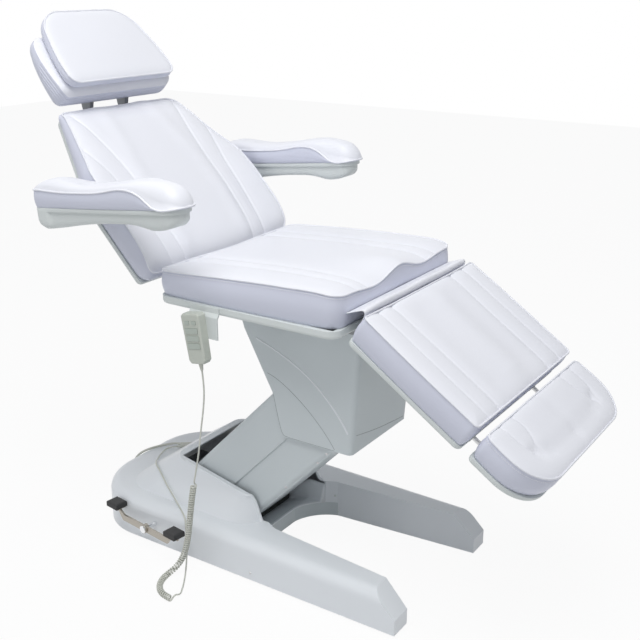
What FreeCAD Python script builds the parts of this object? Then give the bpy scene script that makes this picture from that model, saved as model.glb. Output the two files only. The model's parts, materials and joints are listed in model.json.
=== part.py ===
# Facial bed: a padded seat, back, head, leg and foot rest on a parallelogram lift.
# Millimetres. X runs from head to feet, Y across the bed, Z up, the floor is at zero.
import FreeCAD
import Part
import Sketcher
import math
import os
from types import SimpleNamespace

doc = FreeCAD.newDocument("facial_bed")
sheet = doc.addObject("Spreadsheet::Sheet", "sizes")
driving_sizes = (
    # moves the whole bed along X so that its middle stands over the origin
    ("set_forward", 34),
    # seat and its tray
    ("seat_width", 620),
    ("seat_length", 547),
    ("tray_front", 254),
    ("tray_bottom", 777),
    ("tray_height", 21),
    ("tray_inset", 3),
    ("tray_floor", 5),
    ("tray_step", 9),
    ("tray_corner", 34),
    ("seat_pad", 70),
    ("seat_crown", 10),
    ("soft_gap", 0.3),
    # backrest, drawn lying flat from its hinge
    ("back_angle", 47),
    ("back_recline", 47),
    ("back_raise", 25),
    ("back_crank", 62),
    ("back_pin", 8),
    ("back_eye", 14),
    ("back_hinge_x", -346),
    ("back_hinge_z", 800),
    ("back_start", 16),
    ("back_length", 534),
    ("back_top_width", 426),
    ("back_low", -8),
    ("back_shell", 17),
    ("back_pad", 45),
    ("wing_rise", 40),
    ("frame_bar", 18),
    ("frame_half", 150),
    ("bar_width", 20),
    # headrest, drawn in the backrest's flat place
    ("head_pivot", 564),
    ("head_pin", 5),
    ("head_lug", 80),
    ("head_start", 568),
    ("head_length", 196),
    ("head_width", 450),
    ("head_back_low", 20),
    ("head_back_high", 58),
    ("head_front", 94),
    ("pillow_start", 575),
    ("pillow_length", 243),
    ("pillow_width", 404),
    ("pillow_top_width", 312),
    ("pillow_pad", 37),
    # armrests, level beside the back
    ("rest_gap", 27),
    ("rest_width", 92),
    ("rest_pivot", 272),
    ("rest_pin", 6),
    ("rest_bore", 60),
    ("rest_hub", 19),
    ("rest_rear", 46),
    ("rest_front", 437),
    ("rest_base_low", -4),
    ("rest_base_high", 30),
    ("rest_pad", 74),
    ("rest_lift", 6),
    # leg rest and footrest, drawn lying flat from the leg hinge
    ("leg_angle", 34),
    ("leg_raise", 34),
    ("leg_lower", 28),
    ("leg_crank", 45),
    ("leg_pin", 6),
    ("leg_eye", 11),
    ("leg_hinge_x", 253),
    ("leg_hinge_z", 764),
    ("leg_start", 9),
    ("leg_length", 357),
    ("leg_width", 572),
    ("leg_low", 12),
    ("leg_shell", 16),
    ("leg_pad", 64),
    ("foot_gap", 25),
    ("foot_length", 174),
    ("foot_width", 564),
    ("foot_corner", 100),
    ("rod_radius", 5.5),
    # parallelogram lift
    ("arm_angle", 46),
    ("arm_drop", 28),
    ("arm_length", 510),
    ("arm_foot_x", -300),
    ("arm_foot_z", 174.5),
    ("arm_offset", 116.5),
    ("arm_half", 138),
    ("cover_wall", 3),
    ("cover_round", 16),
    ("cover_gap", 1.5),
    ("upper_rise", 61),
    ("upper_skirt", 58),
    ("lower_rise", 64),
    ("lower_drop", 52),
    ("link_half", 102),
    ("link_plate", 10),
    ("link_round", 28),
    ("spacer_radius", 8),
    ("pin_radius", 12.5),
    ("pin_play", 0.06),
    ("crank", 95),
    ("crank_inside", 12),
    ("crank_plate", 8),
    ("crank_pin", 5),
    ("motor_length", 90),
    ("motor_half", 38),
    ("rod_recess", 40),
    ("guide_radius", 18),
    ("push_radius", 10),
    ("push_play", 0.3),
    # column under the seat
    ("skirt_half", 146),
    ("skirt_wall", 3),
    ("skirt_round", 14),
    ("rod_slot", 30),
    ("column_rear", -120),
    ("column_front", 200),
    ("shelf", 12),
    ("skirt_bottom", 402),
    ("skirt_front_low", 203),
    ("skirt_front_high", 231),
    ("skirt_rear_low", -18),
    ("skirt_rear_high", -160),
    # moulded base
    ("base_width", 528),
    ("base_rear", -670),
    ("base_front", 408),
    ("base_corner", 180),
    ("base_bottom", 6),
    ("base_wall", 4),
    ("deck_rear", 132),
    ("nose_high", 115),
    ("nose_low", 50),
    ("nose_run", 66),
    ("shoulder", 34),
    ("leg_inner_nose", 198),
    ("leg_inner_root", 163),
    ("arch_root", -32),
    ("arch_face", -122),
    ("arch_flat", 60),
    ("arch_height", 50),
    ("arch_depth", 12),
    ("hump_rear", -606),
    ("hump_front", -72),
    ("hump_half", 226),
    ("collar_rear", -396),
    ("collar_front", -110),
    ("collar_half", 166),
    ("collar_high", 250),
    ("collar_low", 188),
    ("opening_rear", -378),
    ("opening_half", 146),
    ("rail_height", 30),
    ("rail_rear", -560),
    ("rail_front", 330),
    ("foot_height", 14),
    # pedal
    ("pedal_x", -395),
    ("pedal_reach", 38),
    ("pedal_z", 72),
    ("pedal_pin", 7),
    ("pedal_pad", 17),
    ("pedal_length", 290),
    ("pedal_turn", -8),
    # handset and leads
    ("handset_x", -145.5),
    ("handset_z", 715.5),
    ("handset_width", 60),
    ("handset_height", 132),
    ("handset_depth", 26),
    ("handset_lean", -9.5),
    ("handset_gap", 13),
    ("key_depth", 4.2),
    ("key_proud", 1.8),
    ("boot_length", 20),
    ("key_play", 0.35),
    ("lead_diameter", 4.5),
    ("curl_diameter", 18),
    ("curl_count", 60),
    ("mains_diameter", 7),
    ("gland_length", 38),
    ("gland_radius", 11),
    ("coil_tail", 45),
    ("tie_wall", 1),
    ("plug_width", 34),
    ("plug_length", 40),
    ("plug_height", 25),
    ("coil_turns", 4),
    ("coil_step", 8),
    ("coil_inner", 24),
)
for row, (alias, value) in enumerate(driving_sizes, 1):
    sheet.set("A%d" % row, alias)
    sheet.set("B%d" % row, str(value))
    sheet.setAlias("B%d" % row, alias)
doc.recompute()
size = SimpleNamespace(**{alias: float(sheet.get(alias)) for alias, value in driving_sizes})
nodes = {}


def vec(x, y, z):
    return FreeCAD.Vector(x, y, z)


def node(name, item):
    item.Label = name
    nodes[name] = item
    return item


def formed(name, shape):
    item = doc.addObject("Part::Feature", name)
    item.Shape = shape
    return node(name, item)


def turned(item, x, z, angle, y=0):
    # sets a piece drawn flat at its hinge and swings it about the cross axis
    item.Placement = FreeCAD.Placement(vec(x, y, z), FreeCAD.Rotation(vec(0, 1, 0), angle))
    return item


def swung(shape, x, z, angle):
    # a copy of a shape swung about a cross axis through a point
    copy = shape.copy()
    copy.rotate(vec(x, 0, z), vec(0, 1, 0), angle)
    return copy


def evaluate(text):
    return float(sheet.evalExpression(text))


def cross_bore(name, radius, length, start):
    # a round bar along Y that cuts a bore
    item = doc.addObject("Part::Cylinder", name)
    item.setExpression("Radius", radius)
    item.setExpression("Height", length)
    item.Placement = FreeCAD.Placement(start, FreeCAD.Rotation(vec(1, 0, 0), -90))
    return item


def less(name, base, tool):
    item = doc.addObject("Part::Cut", name)
    item.Base = base
    item.Tool = tool
    return item


def draw(sketch, corners):
    # closes a polygon whose corners are held to the sketch's origin by the sheet
    spots = [(evaluate(x), evaluate(y)) for x, y in corners]
    count = len(spots)
    for spot, following in zip(spots, spots[1:] + spots[:1]):
        sketch.addGeometry(Part.LineSegment(vec(*spot, 0), vec(*following, 0)), False)
    for index in range(count):
        sketch.addConstraint(Sketcher.Constraint("Coincident", index, 2, (index + 1) % count, 1))
    for index, (spot, rules) in enumerate(zip(spots, corners)):
        for kind, place, rule in zip(("DistanceX", "DistanceY"), spot, rules):
            held = sketch.addConstraint(Sketcher.Constraint(kind, -1, 1, index, 1, place))
            sketch.setExpression("Constraints[%d]" % held, rule)


def sketch_on(body, role, name, corners, rise=0):
    plane = next(part for part in body.Origin.OriginFeatures if part.Role == role)
    sketch = body.newObject("Sketcher::SketchObject", name)
    sketch.AttachmentSupport = [(plane, "")]
    sketch.MapMode = "FlatFace"
    sketch.AttachmentOffset = FreeCAD.Placement(vec(0, 0, rise), FreeCAD.Rotation())
    draw(sketch, corners)
    return sketch


def padded(name, role, corners, length, both_ways=False):
    body = doc.addObject("PartDesign::Body", name)
    pad = body.newObject("PartDesign::Pad", name + "_pad")
    pad.Profile = sketch_on(body, role, name + "_outline", corners)
    pad.setExpression("Length", length)
    pad.SideType = "Symmetric" if both_ways else "One side"
    doc.recompute()
    return body


def pocketed(body, role, corners, length, both_ways=True, reverse=False, rise=0):
    before = body.Shape.Volume
    pocket = body.newObject("PartDesign::Pocket", body.Name + "_pocket")
    pocket.Profile = sketch_on(body, role, body.Name + "_cut", corners, rise)
    pocket.setExpression("Length", length)
    pocket.SideType = "Symmetric" if both_ways else "One side"
    pocket.Reversed = reverse
    doc.recompute()
    if body.Shape.Volume >= before:
        raise ValueError(body.Name + ": the pocket cuts nothing")
    return body


def rounded(body, radius, chosen):
    # rounds the edges of a body that the test picks
    tip = body.Tip
    names = ["Edge%d" % place for place, edge in enumerate(tip.Shape.Edges, 1) if chosen(edge)]
    fillet = body.newObject("PartDesign::Fillet", body.Name + "_round")
    fillet.Base = (tip, names)
    fillet.Radius = radius
    doc.recompute()
    return body


def upright_edge(edge):
    box_of = edge.BoundBox
    return box_of.ZLength > 1 and box_of.XLength < 0.01 and box_of.YLength < 0.01


def polygon(points):
    return Part.makePolygon([vec(*point) for point in points] + [vec(*points[0])])


def slab(points, depth):
    # a prism along Y, centred on the middle plane, from an outline in X and Z
    face = Part.Face(polygon([(x, -depth / 2, z) for x, z in points]))
    return face.extrude(vec(0, depth, 0))


def bar_along_y(x, z, radius, low, high):
    return Part.makeCylinder(radius, high - low, vec(x, low, z), vec(0, 1, 0))


def bar_along_x(low, high, radius, z, y=0):
    return Part.makeCylinder(radius, high - low, vec(low, y, z), vec(1, 0, 0))


def block(x, y, z):
    return Part.makeBox(x[1] - x[0], y[1] - y[0], z[1] - z[0], vec(x[0], y[0], z[0]))


def both_sides(shape):
    mirror = shape.mirror(vec(0, 0, 0), vec(0, 1, 0))
    return shape.fuse(mirror) if shape.BoundBox.YMin < 0.01 else Part.makeCompound([shape, mirror])


def merged(shapes):
    whole = shapes[0].fuse(shapes[1:])
    return whole.removeSplitter()


# Soft pads: lofts through sections of lines and arcs

def bow(start, end, rise):
    # an arc from start to end whose middle stands off the straight line, to the left by rise
    middle = (start + end) * 0.5
    along = end - start
    side = vec(0, -along.z, along.y)
    side.normalize()
    return Part.Arc(start, middle + side * rise, end).toShape()


def pad_section(x, half, low, edge, seam, panel, middle, bolster, dip, side_bow=3.5, tuck=5, y=0):
    # one cross section: flat below, bowed sides, a bolster each side and a shaped middle
    right = [
        vec(x, y + half - tuck, low),
        vec(x, y + half - tuck / 2, edge),
        vec(x, y + seam, panel),
        vec(x, y, middle),
    ]
    left = [vec(x, 2 * y - point.y, point.z) for point in right]
    edges = [
        Part.makeLine(left[0], right[0]),
        bow(right[0], right[1], -side_bow),
        bow(right[1], right[2], -bolster),
        bow(right[2], right[3], -dip),
        bow(left[3], left[2], -dip),
        bow(left[2], left[1], -bolster),
        bow(left[1], left[0], -side_bow),
    ]
    return Part.Wire(edges)


def pad_form(sections):
    return Part.makeLoft(sections, True, False)


# Tubes and turns

def tube_path(points):
    # straight runs joined by arcs as large as the shorter run beside each point allows
    spots = [vec(*point) for point in points]
    edges = []
    radii = []
    last = spots[0]
    for before, here, after in zip(spots, spots[1:], spots[2:]):
        inward = here - before
        outward = after - here
        turn = inward.getAngle(outward)
        back_off = 0.45 * min(inward.Length, outward.Length)
        inward.normalize()
        outward.normalize()
        start = here - inward * back_off
        end = here + outward * back_off
        radius = back_off / math.tan(turn / 2)
        toward = (start + end) * 0.5 - here
        reach = back_off * math.tan(turn / 4)
        toward.normalize()
        edges.append(Part.makeLine(last, start))
        edges.append(Part.Arc(start, here + toward * reach, end).toShape())
        radii.append(round(radius))
        last = end
    edges.append(Part.makeLine(last, spots[-1]))
    return Part.Wire(edges), radii


def tube(path, diameter):
    first = path.OrderedEdges[0]
    start = first.valueAt(first.FirstParameter)
    heading = first.tangentAt(first.FirstParameter)
    ring = Part.Wire(Part.makeCircle(diameter / 2, start, heading))
    return path.makePipeShell([ring], True, False)


def lead(name, points, diameter):
    path, radii = tube_path(points)
    shape = tube(path, diameter)
    ideal = path.Length * math.pi * diameter ** 2 / 4
    print(name, "length", round(path.Length), "bend radii", radii, "volume ratio", round(shape.Volume / ideal, 4))
    return formed(name, shape), path


def biarc(start, start_heading, end, end_heading):
    # two tangent arcs between two points with given headings
    across = end - start
    both = start_heading + end_heading
    apart = 2 * (1 - start_heading.dot(end_heading))
    reach = across.dot(both)
    arm = (-reach + math.sqrt(reach ** 2 + apart * across.dot(across))) / apart
    first_corner = start + start_heading * arm
    last_corner = end - end_heading * arm
    meeting = (first_corner + last_corner) * 0.5
    return [corner_arc(start, first_corner, meeting), corner_arc(meeting, last_corner, end)]


def corner_arc(start, corner, end):
    middle = (start + end) * 0.5
    toward = corner - middle
    half = (end - start).Length / 2
    rise = half * math.tan(math.atan2(toward.Length, half) / 2)
    toward.normalize()
    return Part.Arc(start, middle + toward * rise, end).toShape()


def wound(name, places, headings, diameter, lead_in, lead_out):
    # an unbroken tube through turns, with a straight end at each side
    edges = [Part.makeLine(places[0] - headings[0] * lead_in, places[0])]
    for index in range(len(places) - 1):
        edges += biarc(places[index], headings[index], places[index + 1], headings[index + 1])
    edges.append(Part.makeLine(places[-1], places[-1] + headings[-1] * lead_out))
    path = Part.Wire(edges)
    print(name, "length", round(path.Length), "least gap to itself", round(self_gap(path, diameter), 2))
    return formed(name, tube(path, diameter)), path


def self_gap(path, diameter):
    # least distance between stretches of the path that are further apart than a short run
    count = int(path.Length / (diameter * 0.45))
    spots = path.discretize(Number=count)
    skip = int(2.6 / 0.45)
    least = 1e9
    for index, spot in enumerate(spots):
        for other in spots[index + skip:index + 400]:
            least = min(least, spot.distanceToPoint(other))
    return least - diameter


# Base

def base_outline(inset):
    half = size.base_width / 2 - inset
    rear = size.base_rear + inset
    front = size.base_front - inset
    corner = size.base_corner - inset
    inner_nose = size.leg_inner_nose + inset
    inner_root = size.leg_inner_root + inset
    root = size.arch_root
    face = size.arch_face - inset
    flat = size.arch_flat
    lean = corner * (1 - math.sqrt(0.5))
    side = [
        Part.makeLine(vec(rear, 0, 0), vec(rear, half - corner, 0)),
        Part.Arc(vec(rear, half - corner, 0), vec(rear + lean, half - lean, 0), vec(rear + corner, half, 0)),
        Part.makeLine(vec(rear + corner, half, 0), vec(front, half, 0)),
        Part.makeLine(vec(front, half, 0), vec(front, inner_nose, 0)),
        Part.makeLine(vec(front, inner_nose, 0), vec(root, inner_root, 0)),
        arch_bend(root, inner_root, face, flat),
        Part.makeLine(vec(face, flat, 0), vec(face, 0, 0)),
    ]
    side = [edge.toShape() if isinstance(edge, Part.Arc) else edge for edge in side]
    mirrored = [edge.mirror(vec(0, 0, 0), vec(0, 1, 0)) for edge in side]
    return Part.Face(Part.Wire(Part.__sortEdges__(side + mirrored)))


def arch_bend(root, inner_root, face, flat):
    # rounds the arch from its flat middle into the leg
    middle = vec((root + face) / 2 - (root - face) * 0.17, (inner_root + flat) / 2 + (inner_root - flat) * 0.1, 0)
    return Part.Arc(vec(root, inner_root, 0), middle, vec(face, flat, 0))


def base_form(inset, floor):
    # the flat deck with its two legs, rounded along the outer top edge
    body = base_outline(inset).extrude(vec(0, 0, size.deck_rear * 2))
    front = size.base_front
    outline = [
        (size.base_rear - 60, floor),
        (front + 60, floor),
        (front + 60, size.nose_low - inset - 60 * (size.nose_high - size.nose_low) / size.nose_run),
        (front - size.nose_run, size.nose_high - inset),
        (size.base_rear - 60, size.deck_rear - inset),
    ]
    body = body.common(slab(outline, size.base_width * 2))
    half = size.base_width / 2 - inset

    def along_shoulder(edge):
        spot = edge.valueAt((edge.FirstParameter + edge.LastParameter) / 2)
        outer = abs(abs(spot.y) - half) < 0.5 or spot.x < size.base_rear + size.base_corner
        return outer and spot.z > size.nose_high - inset - 3

    chosen = [edge for edge in body.Edges if along_shoulder(edge)]
    return body.makeFillet(size.shoulder - inset, chosen)


def ring_wire(rear, front, half, corner, z_rear, z_front):
    # a rounded rectangle on a plane that leans along X
    lean = corner * (1 - math.sqrt(0.5))

    def spot(x, y):
        return vec(x, y, z_rear + (z_front - z_rear) * (x - rear) / (front - rear))

    corners = (
        (front - corner, -half, front - lean, -half + lean, front, -half + corner),
        (front, half - corner, front - lean, half - lean, front - corner, half),
        (rear + corner, half, rear + lean, half - lean, rear, half - corner),
        (rear, -half + corner, rear + lean, -half + lean, rear + corner, -half),
    )
    edges = []
    for place, (ax, ay, bx, by, cx, cy) in enumerate(corners):
        edges.append(Part.Arc(spot(ax, ay), spot(bx, by), spot(cx, cy)).toShape())
        following = corners[(place + 1) % 4]
        edges.append(Part.makeLine(spot(cx, cy), spot(following[0], following[1])))
    return Part.Wire(edges)


def hump_form(inset):
    # the housing over the lift's foot, flared into the deck and leaning down to the front
    deck = size.nose_high - 12
    middle_rear = (size.hump_rear * 0.52 + size.collar_rear * 0.48)
    middle_half = size.hump_half * 0.36 + size.collar_half * 0.64
    rings = [
        ring_wire(size.hump_rear + inset, size.hump_front - inset, size.hump_half - inset, 110, deck, deck),
        ring_wire(middle_rear + inset, (size.hump_front + size.collar_front) / 2 - inset,
                  middle_half - inset, 80, deck + 74, deck + 46),
        ring_wire(size.collar_rear + inset, size.collar_front - inset, size.collar_half - inset, 46,
                  size.collar_high - inset, size.collar_low - inset),
    ]
    return Part.makeLoft(rings, True, False)


def arch_strip(back, play):
    # the curved strip between the two legs, seen from above
    front = arch_bend(size.arch_root, size.leg_inner_root, size.arch_face, size.arch_flat)
    rear = arch_bend(size.arch_root - back, size.leg_inner_root + back, size.arch_face - back, size.arch_flat)
    side = [
        Part.makeLine(vec(size.arch_face, 0, 0), vec(size.arch_face, size.arch_flat, 0)),
        front.toShape(),
        Part.makeLine(vec(size.arch_root, size.leg_inner_root, 0),
                      vec(size.arch_root - back, size.leg_inner_root + back, 0)),
        rear.toShape(),
        Part.makeLine(vec(size.arch_face - back, size.arch_flat, 0), vec(size.arch_face - back, 0, 0)),
    ]
    mirrored = [edge.mirror(vec(0, 0, 0), vec(0, 1, 0)) for edge in side]
    face = Part.Face(Part.Wire(Part.__sortEdges__(side + mirrored)))
    face.translate(vec(0, 0, size.base_bottom - play))
    return face.extrude(vec(0, 0, size.arch_height - size.base_bottom + play))


def make_base_cover():
    outer = base_outside(0)
    wall = size.base_wall
    inner = base_form(wall, size.base_bottom - 20).fuse(hump_form(wall))
    shell = outer.cut(inner)
    opening = block((size.opening_rear, size.arch_face + 200), (-size.opening_half, size.opening_half),
                    (size.arch_height, size.collar_high + 50))
    shell = shell.cut(opening)
    shell = shell.cut(arch_strip(size.arch_depth + size.soft_gap, 5))
    return formed("base_cover", max(shell.Solids, key=lambda solid: solid.Volume))


def base_outside(inset):
    return merged([base_form(inset, size.base_bottom), hump_form(inset)])


def make_arch_panel():
    return formed("arch_panel", arch_strip(size.arch_depth, 0))


def make_base_frame():
    rail_low = size.foot_height
    rail_high = size.foot_height + size.rail_height
    outer = size.base_width / 2 - 22
    rails = both_sides(block((size.rail_rear, size.rail_front), (outer - 30, outer), (rail_low, rail_high)))
    foot_x = size.arm_foot_x
    foot_z = size.arm_foot_z
    beams = [
        block((size.rail_rear, size.rail_rear + 40), (-outer, outer), (rail_low, rail_high)),
        block((foot_x - 46, foot_x - 6), (-outer, outer), (rail_low, rail_low + 20)),
    ]
    toe_x, toe_z = lower_foot()
    cheek = [
        (foot_x - 50, rail_low),
        (toe_x + 16, rail_low),
        (toe_x + 30, toe_z),
        (toe_x + 8, toe_z + 34),
        (foot_x + 30, foot_z + 30),
        (foot_x - 30, foot_z + 30),
        (foot_x - 50, foot_z - 24),
    ]
    frame = merged(rails.Solids + beams + paired(slab(cheek, size.link_plate), cheek_middle()))
    for x, z in ((foot_x, foot_z), (toe_x, toe_z)):
        frame = frame.cut(bar_along_y(x, z, size.pin_radius, -200, 200))
    return formed("base_frame", frame)


def paired(shape, out):
    # a copy of a middle piece at each side
    copies = []
    for side in (1, -1):
        copy = shape.copy()
        copy.translate(vec(0, side * out, 0))
        copies.append(copy)
    return copies


def cheek_middle():
    # cheeks and column plates stand just outside the links
    return size.link_half + size.link_plate * 1.5


def lower_foot():
    # the lower link's foot pivot, square to the arm at the middle of its swing
    lean = math.radians(size.arm_angle - size.arm_drop / 2)
    return (size.arm_foot_x + size.arm_offset * math.sin(lean),
            size.arm_foot_z - size.arm_offset * math.cos(lean))


def arm_head(foot_x, foot_z):
    lean = math.radians(size.arm_angle)
    return foot_x + size.arm_length * math.cos(lean), foot_z + size.arm_length * math.sin(lean)


def make_levelling_feet():
    out = size.base_width / 2 - 37
    feet = []
    for x in (size.rail_front - 30, size.rail_rear + 20):
        for y in (out, -out):
            pad = Part.makeCylinder(20, size.foot_height - 6, vec(x, y, 0))
            stem = Part.makeCylinder(8, 6, vec(x, y, size.foot_height - 6))
            feet.append(pad.fuse(stem))
    return formed("levelling_feet", Part.makeCompound(feet))


def make_pins():
    reach = cheek_middle() + size.link_plate / 2 + 2
    foot = lower_foot()
    base_pins = [
        bar_along_y(size.arm_foot_x, size.arm_foot_z, size.pin_radius, -reach, reach),
        bar_along_y(foot[0], foot[1], size.pin_radius, -reach, reach),
    ]
    formed("base_pins", Part.makeCompound(base_pins))
    upper = arm_head(size.arm_foot_x, size.arm_foot_z)
    lower = arm_head(*foot)
    bar_out = seat_bar_inside() + size.bar_width + 2
    column_pins = [
        bar_along_y(upper[0], upper[1], size.pin_radius, -reach, reach),
        bar_along_y(lower[0], lower[1], size.pin_radius, -reach, reach),
        bar_along_y(size.back_hinge_x, size.back_hinge_z, size.back_pin, -bar_out, bar_out),
        bar_along_y(size.leg_hinge_x, size.leg_hinge_z, size.leg_pin, -bar_out, bar_out),
    ]
    formed("column_pins", Part.makeCompound(column_pins))


def seat_bar_inside():
    # the seat bars stand just outside the rails of the back and the leg rest
    return size.frame_half + size.bar_width / 2 + 2


# Links of the lift, drawn lying along X from the foot pivot

def crank_pair(length, lean):
    # two crank plates with the pin between them, leaning from straight down toward the head
    inner = size.crank_inside
    outer = inner + size.crank_plate
    lug = block((-11, 11), (inner, outer), (-length, 0)).fuse(bar_along_y(0, -length, 11, inner, outer))
    plates = [lug, lug.mirror(vec(0, 0, 0), vec(0, 1, 0)), bar_along_y(0, -length, size.crank_pin, -outer, outer)]
    return [swung(plate, 0, 0, lean) for plate in plates]


def link_arms(with_crank, cover_inside):
    # two plates on tubes, with spacers out to the moulded cover
    length = size.arm_length
    inner = size.link_half - size.link_plate
    waist = size.link_round * 0.72
    outline = [
        (0, -size.link_round),
        (length * 0.16, -waist),
        (length * 0.84, -waist),
        (length, -size.link_round),
        (length, size.link_round),
        (length * 0.84, waist),
        (length * 0.16, waist),
        (0, size.link_round),
    ]
    pieces = paired(slab(outline, size.link_plate), size.link_half - size.link_plate / 2)
    for x in (0, length):
        pieces += paired_span(x, 0, size.link_round, inner, size.link_half)
        pieces.append(bar_along_y(x, 0, 20, -inner, inner))
    for x in (length * 0.4, length * 0.62):
        pieces += paired_span(x, 0, size.spacer_radius, inner + 1, cover_inside - size.soft_gap)
    if with_crank:
        pieces += crank_pair(size.crank, size.arm_angle - size.arm_drop / 2)
    arms = merged(pieces)
    for x in (0, length):
        arms = arms.cut(bar_along_y(x, 0, size.pin_radius + size.pin_play, -200, 200))
    return arms


def make_upper_link():
    arms = formed("upper_link_arms", link_arms(True, size.arm_half - size.cover_wall))
    turned(arms, size.arm_foot_x, size.arm_foot_z, -size.arm_angle)
    cover = padded("upper_link_cover", "YZ_Plane", [
        ("-sizes.arm_half", "-sizes.upper_skirt"),
        ("sizes.arm_half", "-sizes.upper_skirt"),
        ("sizes.arm_half", "sizes.upper_rise"),
        ("-sizes.arm_half", "sizes.upper_rise"),
    ], "sizes.arm_length - 5")
    rounded(cover, size.cover_round, lambda edge: edge.BoundBox.XLength > 50 and edge.BoundBox.ZMin > 0)
    inside = "(sizes.arm_half - sizes.cover_wall)"
    chamfer = "(sizes.cover_round * 0.55)"
    roof = "(sizes.upper_rise - sizes.cover_wall)"
    pocketed(cover, "YZ_Plane", [
        ("-" + inside, "-sizes.upper_skirt - 5"),
        (inside, "-sizes.upper_skirt - 5"),
        (inside, roof + " - " + chamfer),
        (inside + " - " + chamfer, roof),
        ("-" + inside + " + " + chamfer, roof),
        ("-" + inside, roof + " - " + chamfer),
    ], "2 * sizes.arm_length + 200")
    along_arm(cover, size.arm_foot_x, size.arm_foot_z, -40)
    return node("upper_link_cover", cover)


def along_arm(item, foot_x, foot_z, start):
    lean = math.radians(size.arm_angle)
    turned(item, foot_x + start * math.cos(lean), foot_z + start * math.sin(lean), -size.arm_angle)


def make_lower_link():
    foot_x, foot_z = lower_foot()
    arms = formed("lower_link_arms", link_arms(False, size.arm_half - 2 * size.cover_wall - size.cover_gap))
    turned(arms, foot_x, foot_z, -size.arm_angle)
    outside = "(sizes.arm_half - sizes.cover_wall - sizes.cover_gap)"
    inside = "(sizes.arm_half - 2 * sizes.cover_wall - sizes.cover_gap)"
    cover = padded("lower_link_cover", "YZ_Plane", [
        ("-" + outside, "-sizes.lower_drop"),
        (outside, "-sizes.lower_drop"),
        (outside, "sizes.lower_rise"),
        ("-" + outside, "sizes.lower_rise"),
    ], "sizes.arm_length - 20")
    rounded(cover, size.cover_round, lambda edge: edge.BoundBox.XLength > 50 and edge.BoundBox.ZMax < 0)
    chamfer = "(sizes.cover_round * 0.55)"
    floor = "(-sizes.lower_drop + sizes.cover_wall)"
    pocketed(cover, "YZ_Plane", [
        ("-" + inside, "sizes.lower_rise + 5"),
        ("-" + inside, floor + " + " + chamfer),
        ("-" + inside + " + " + chamfer, floor),
        (inside + " - " + chamfer, floor),
        (inside, floor + " + " + chamfer),
        (inside, "sizes.lower_rise + 5"),
    ], "2 * sizes.arm_length + 200")
    along_arm(cover, foot_x, foot_z, 10)
    return node("lower_link_cover", cover)


# Actuators: a motor block with its guide tube, and a rod whose slotted eye takes a crank pin

def actuator(name, near, far, out, axis_z, deep):
    # near and far bound the motor, and its guide tube ends at out
    body = block((near, far), (-size.motor_half, size.motor_half), deep)
    mouth = near if out < near else far
    bottom = near + size.rod_recess if out < near else far - size.rod_recess
    barrel = bar_along_x(min(out, mouth), max(out, mouth), size.guide_radius, axis_z)
    bore = bar_along_x(min(out, bottom), max(out, bottom), size.push_radius + size.push_play, axis_z)
    long_edges = [edge for edge in body.Edges if abs(edge.BoundBox.XLength - (far - near)) < 0.1]
    return formed(name + "_motor", merged([body.makeFillet(8, long_edges), barrel]).cut(bore))


def push_rod(name, eye_x, rod_end, axis_z, slot_half, slot_tall):
    tall = slot_tall + 10.5
    inner = size.crank_inside - 2
    eye = block((eye_x - 17, eye_x + 17), (-inner, inner), (axis_z - tall, axis_z + tall))
    rod = bar_along_x(min(eye_x, rod_end), max(eye_x, rod_end), size.push_radius, axis_z)
    window = block((eye_x - slot_half, eye_x + slot_half), (-inner - 1, inner + 1),
                   (axis_z - slot_tall, axis_z + slot_tall))
    return formed(name + "_rod", merged([eye, rod]).cut(window))


def swing(length, first, last):
    # lean at rest, and the middle drop of a crank that swings evenly about straight down
    lean = (first - last) / 2
    reach = math.radians((first + last) / 2)
    return lean, length * (1 + math.cos(reach)) / 2, length * (1 - math.cos(reach)) / 2 + size.crank_pin + 1.5


def make_actuators():
    lean, drop, slot = swing(size.crank, 0, size.arm_drop)
    lift_z = size.arm_foot_z - drop
    deck = size.foot_height + size.rail_height
    rear = size.rail_rear
    actuator("lift", rear, rear + size.motor_length, size.arm_foot_x - 72, lift_z, (deck, lift_z + 37))
    push_rod("lift", size.arm_foot_x - size.crank * math.sin(math.radians(lean)), rear + 120, lift_z, 5.8, slot)
    top = size.tray_bottom
    lean, drop, slot = swing(size.back_crank, size.back_recline, size.back_raise)
    back_z = size.back_hinge_z - drop
    actuator("back", -132, -132 + size.motor_length, size.back_hinge_x + 84, back_z, (back_z - 32, top))
    push_rod("back", size.back_hinge_x - size.back_crank * math.sin(math.radians(lean)),
             size.back_hinge_x + 156, back_z, 7.2, slot)
    lean, drop, slot = swing(size.leg_crank, size.leg_raise, size.leg_lower)
    leg_z = size.leg_hinge_z - drop
    actuator("leg", -26, -26 + size.motor_length, size.leg_hinge_x - 68, leg_z, (leg_z - 32, top))
    push_rod("leg", size.leg_hinge_x - size.leg_crank * math.sin(math.radians(lean)),
             size.leg_hinge_x - 143, leg_z, 6.4, slot)


# Column and seat frame

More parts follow.
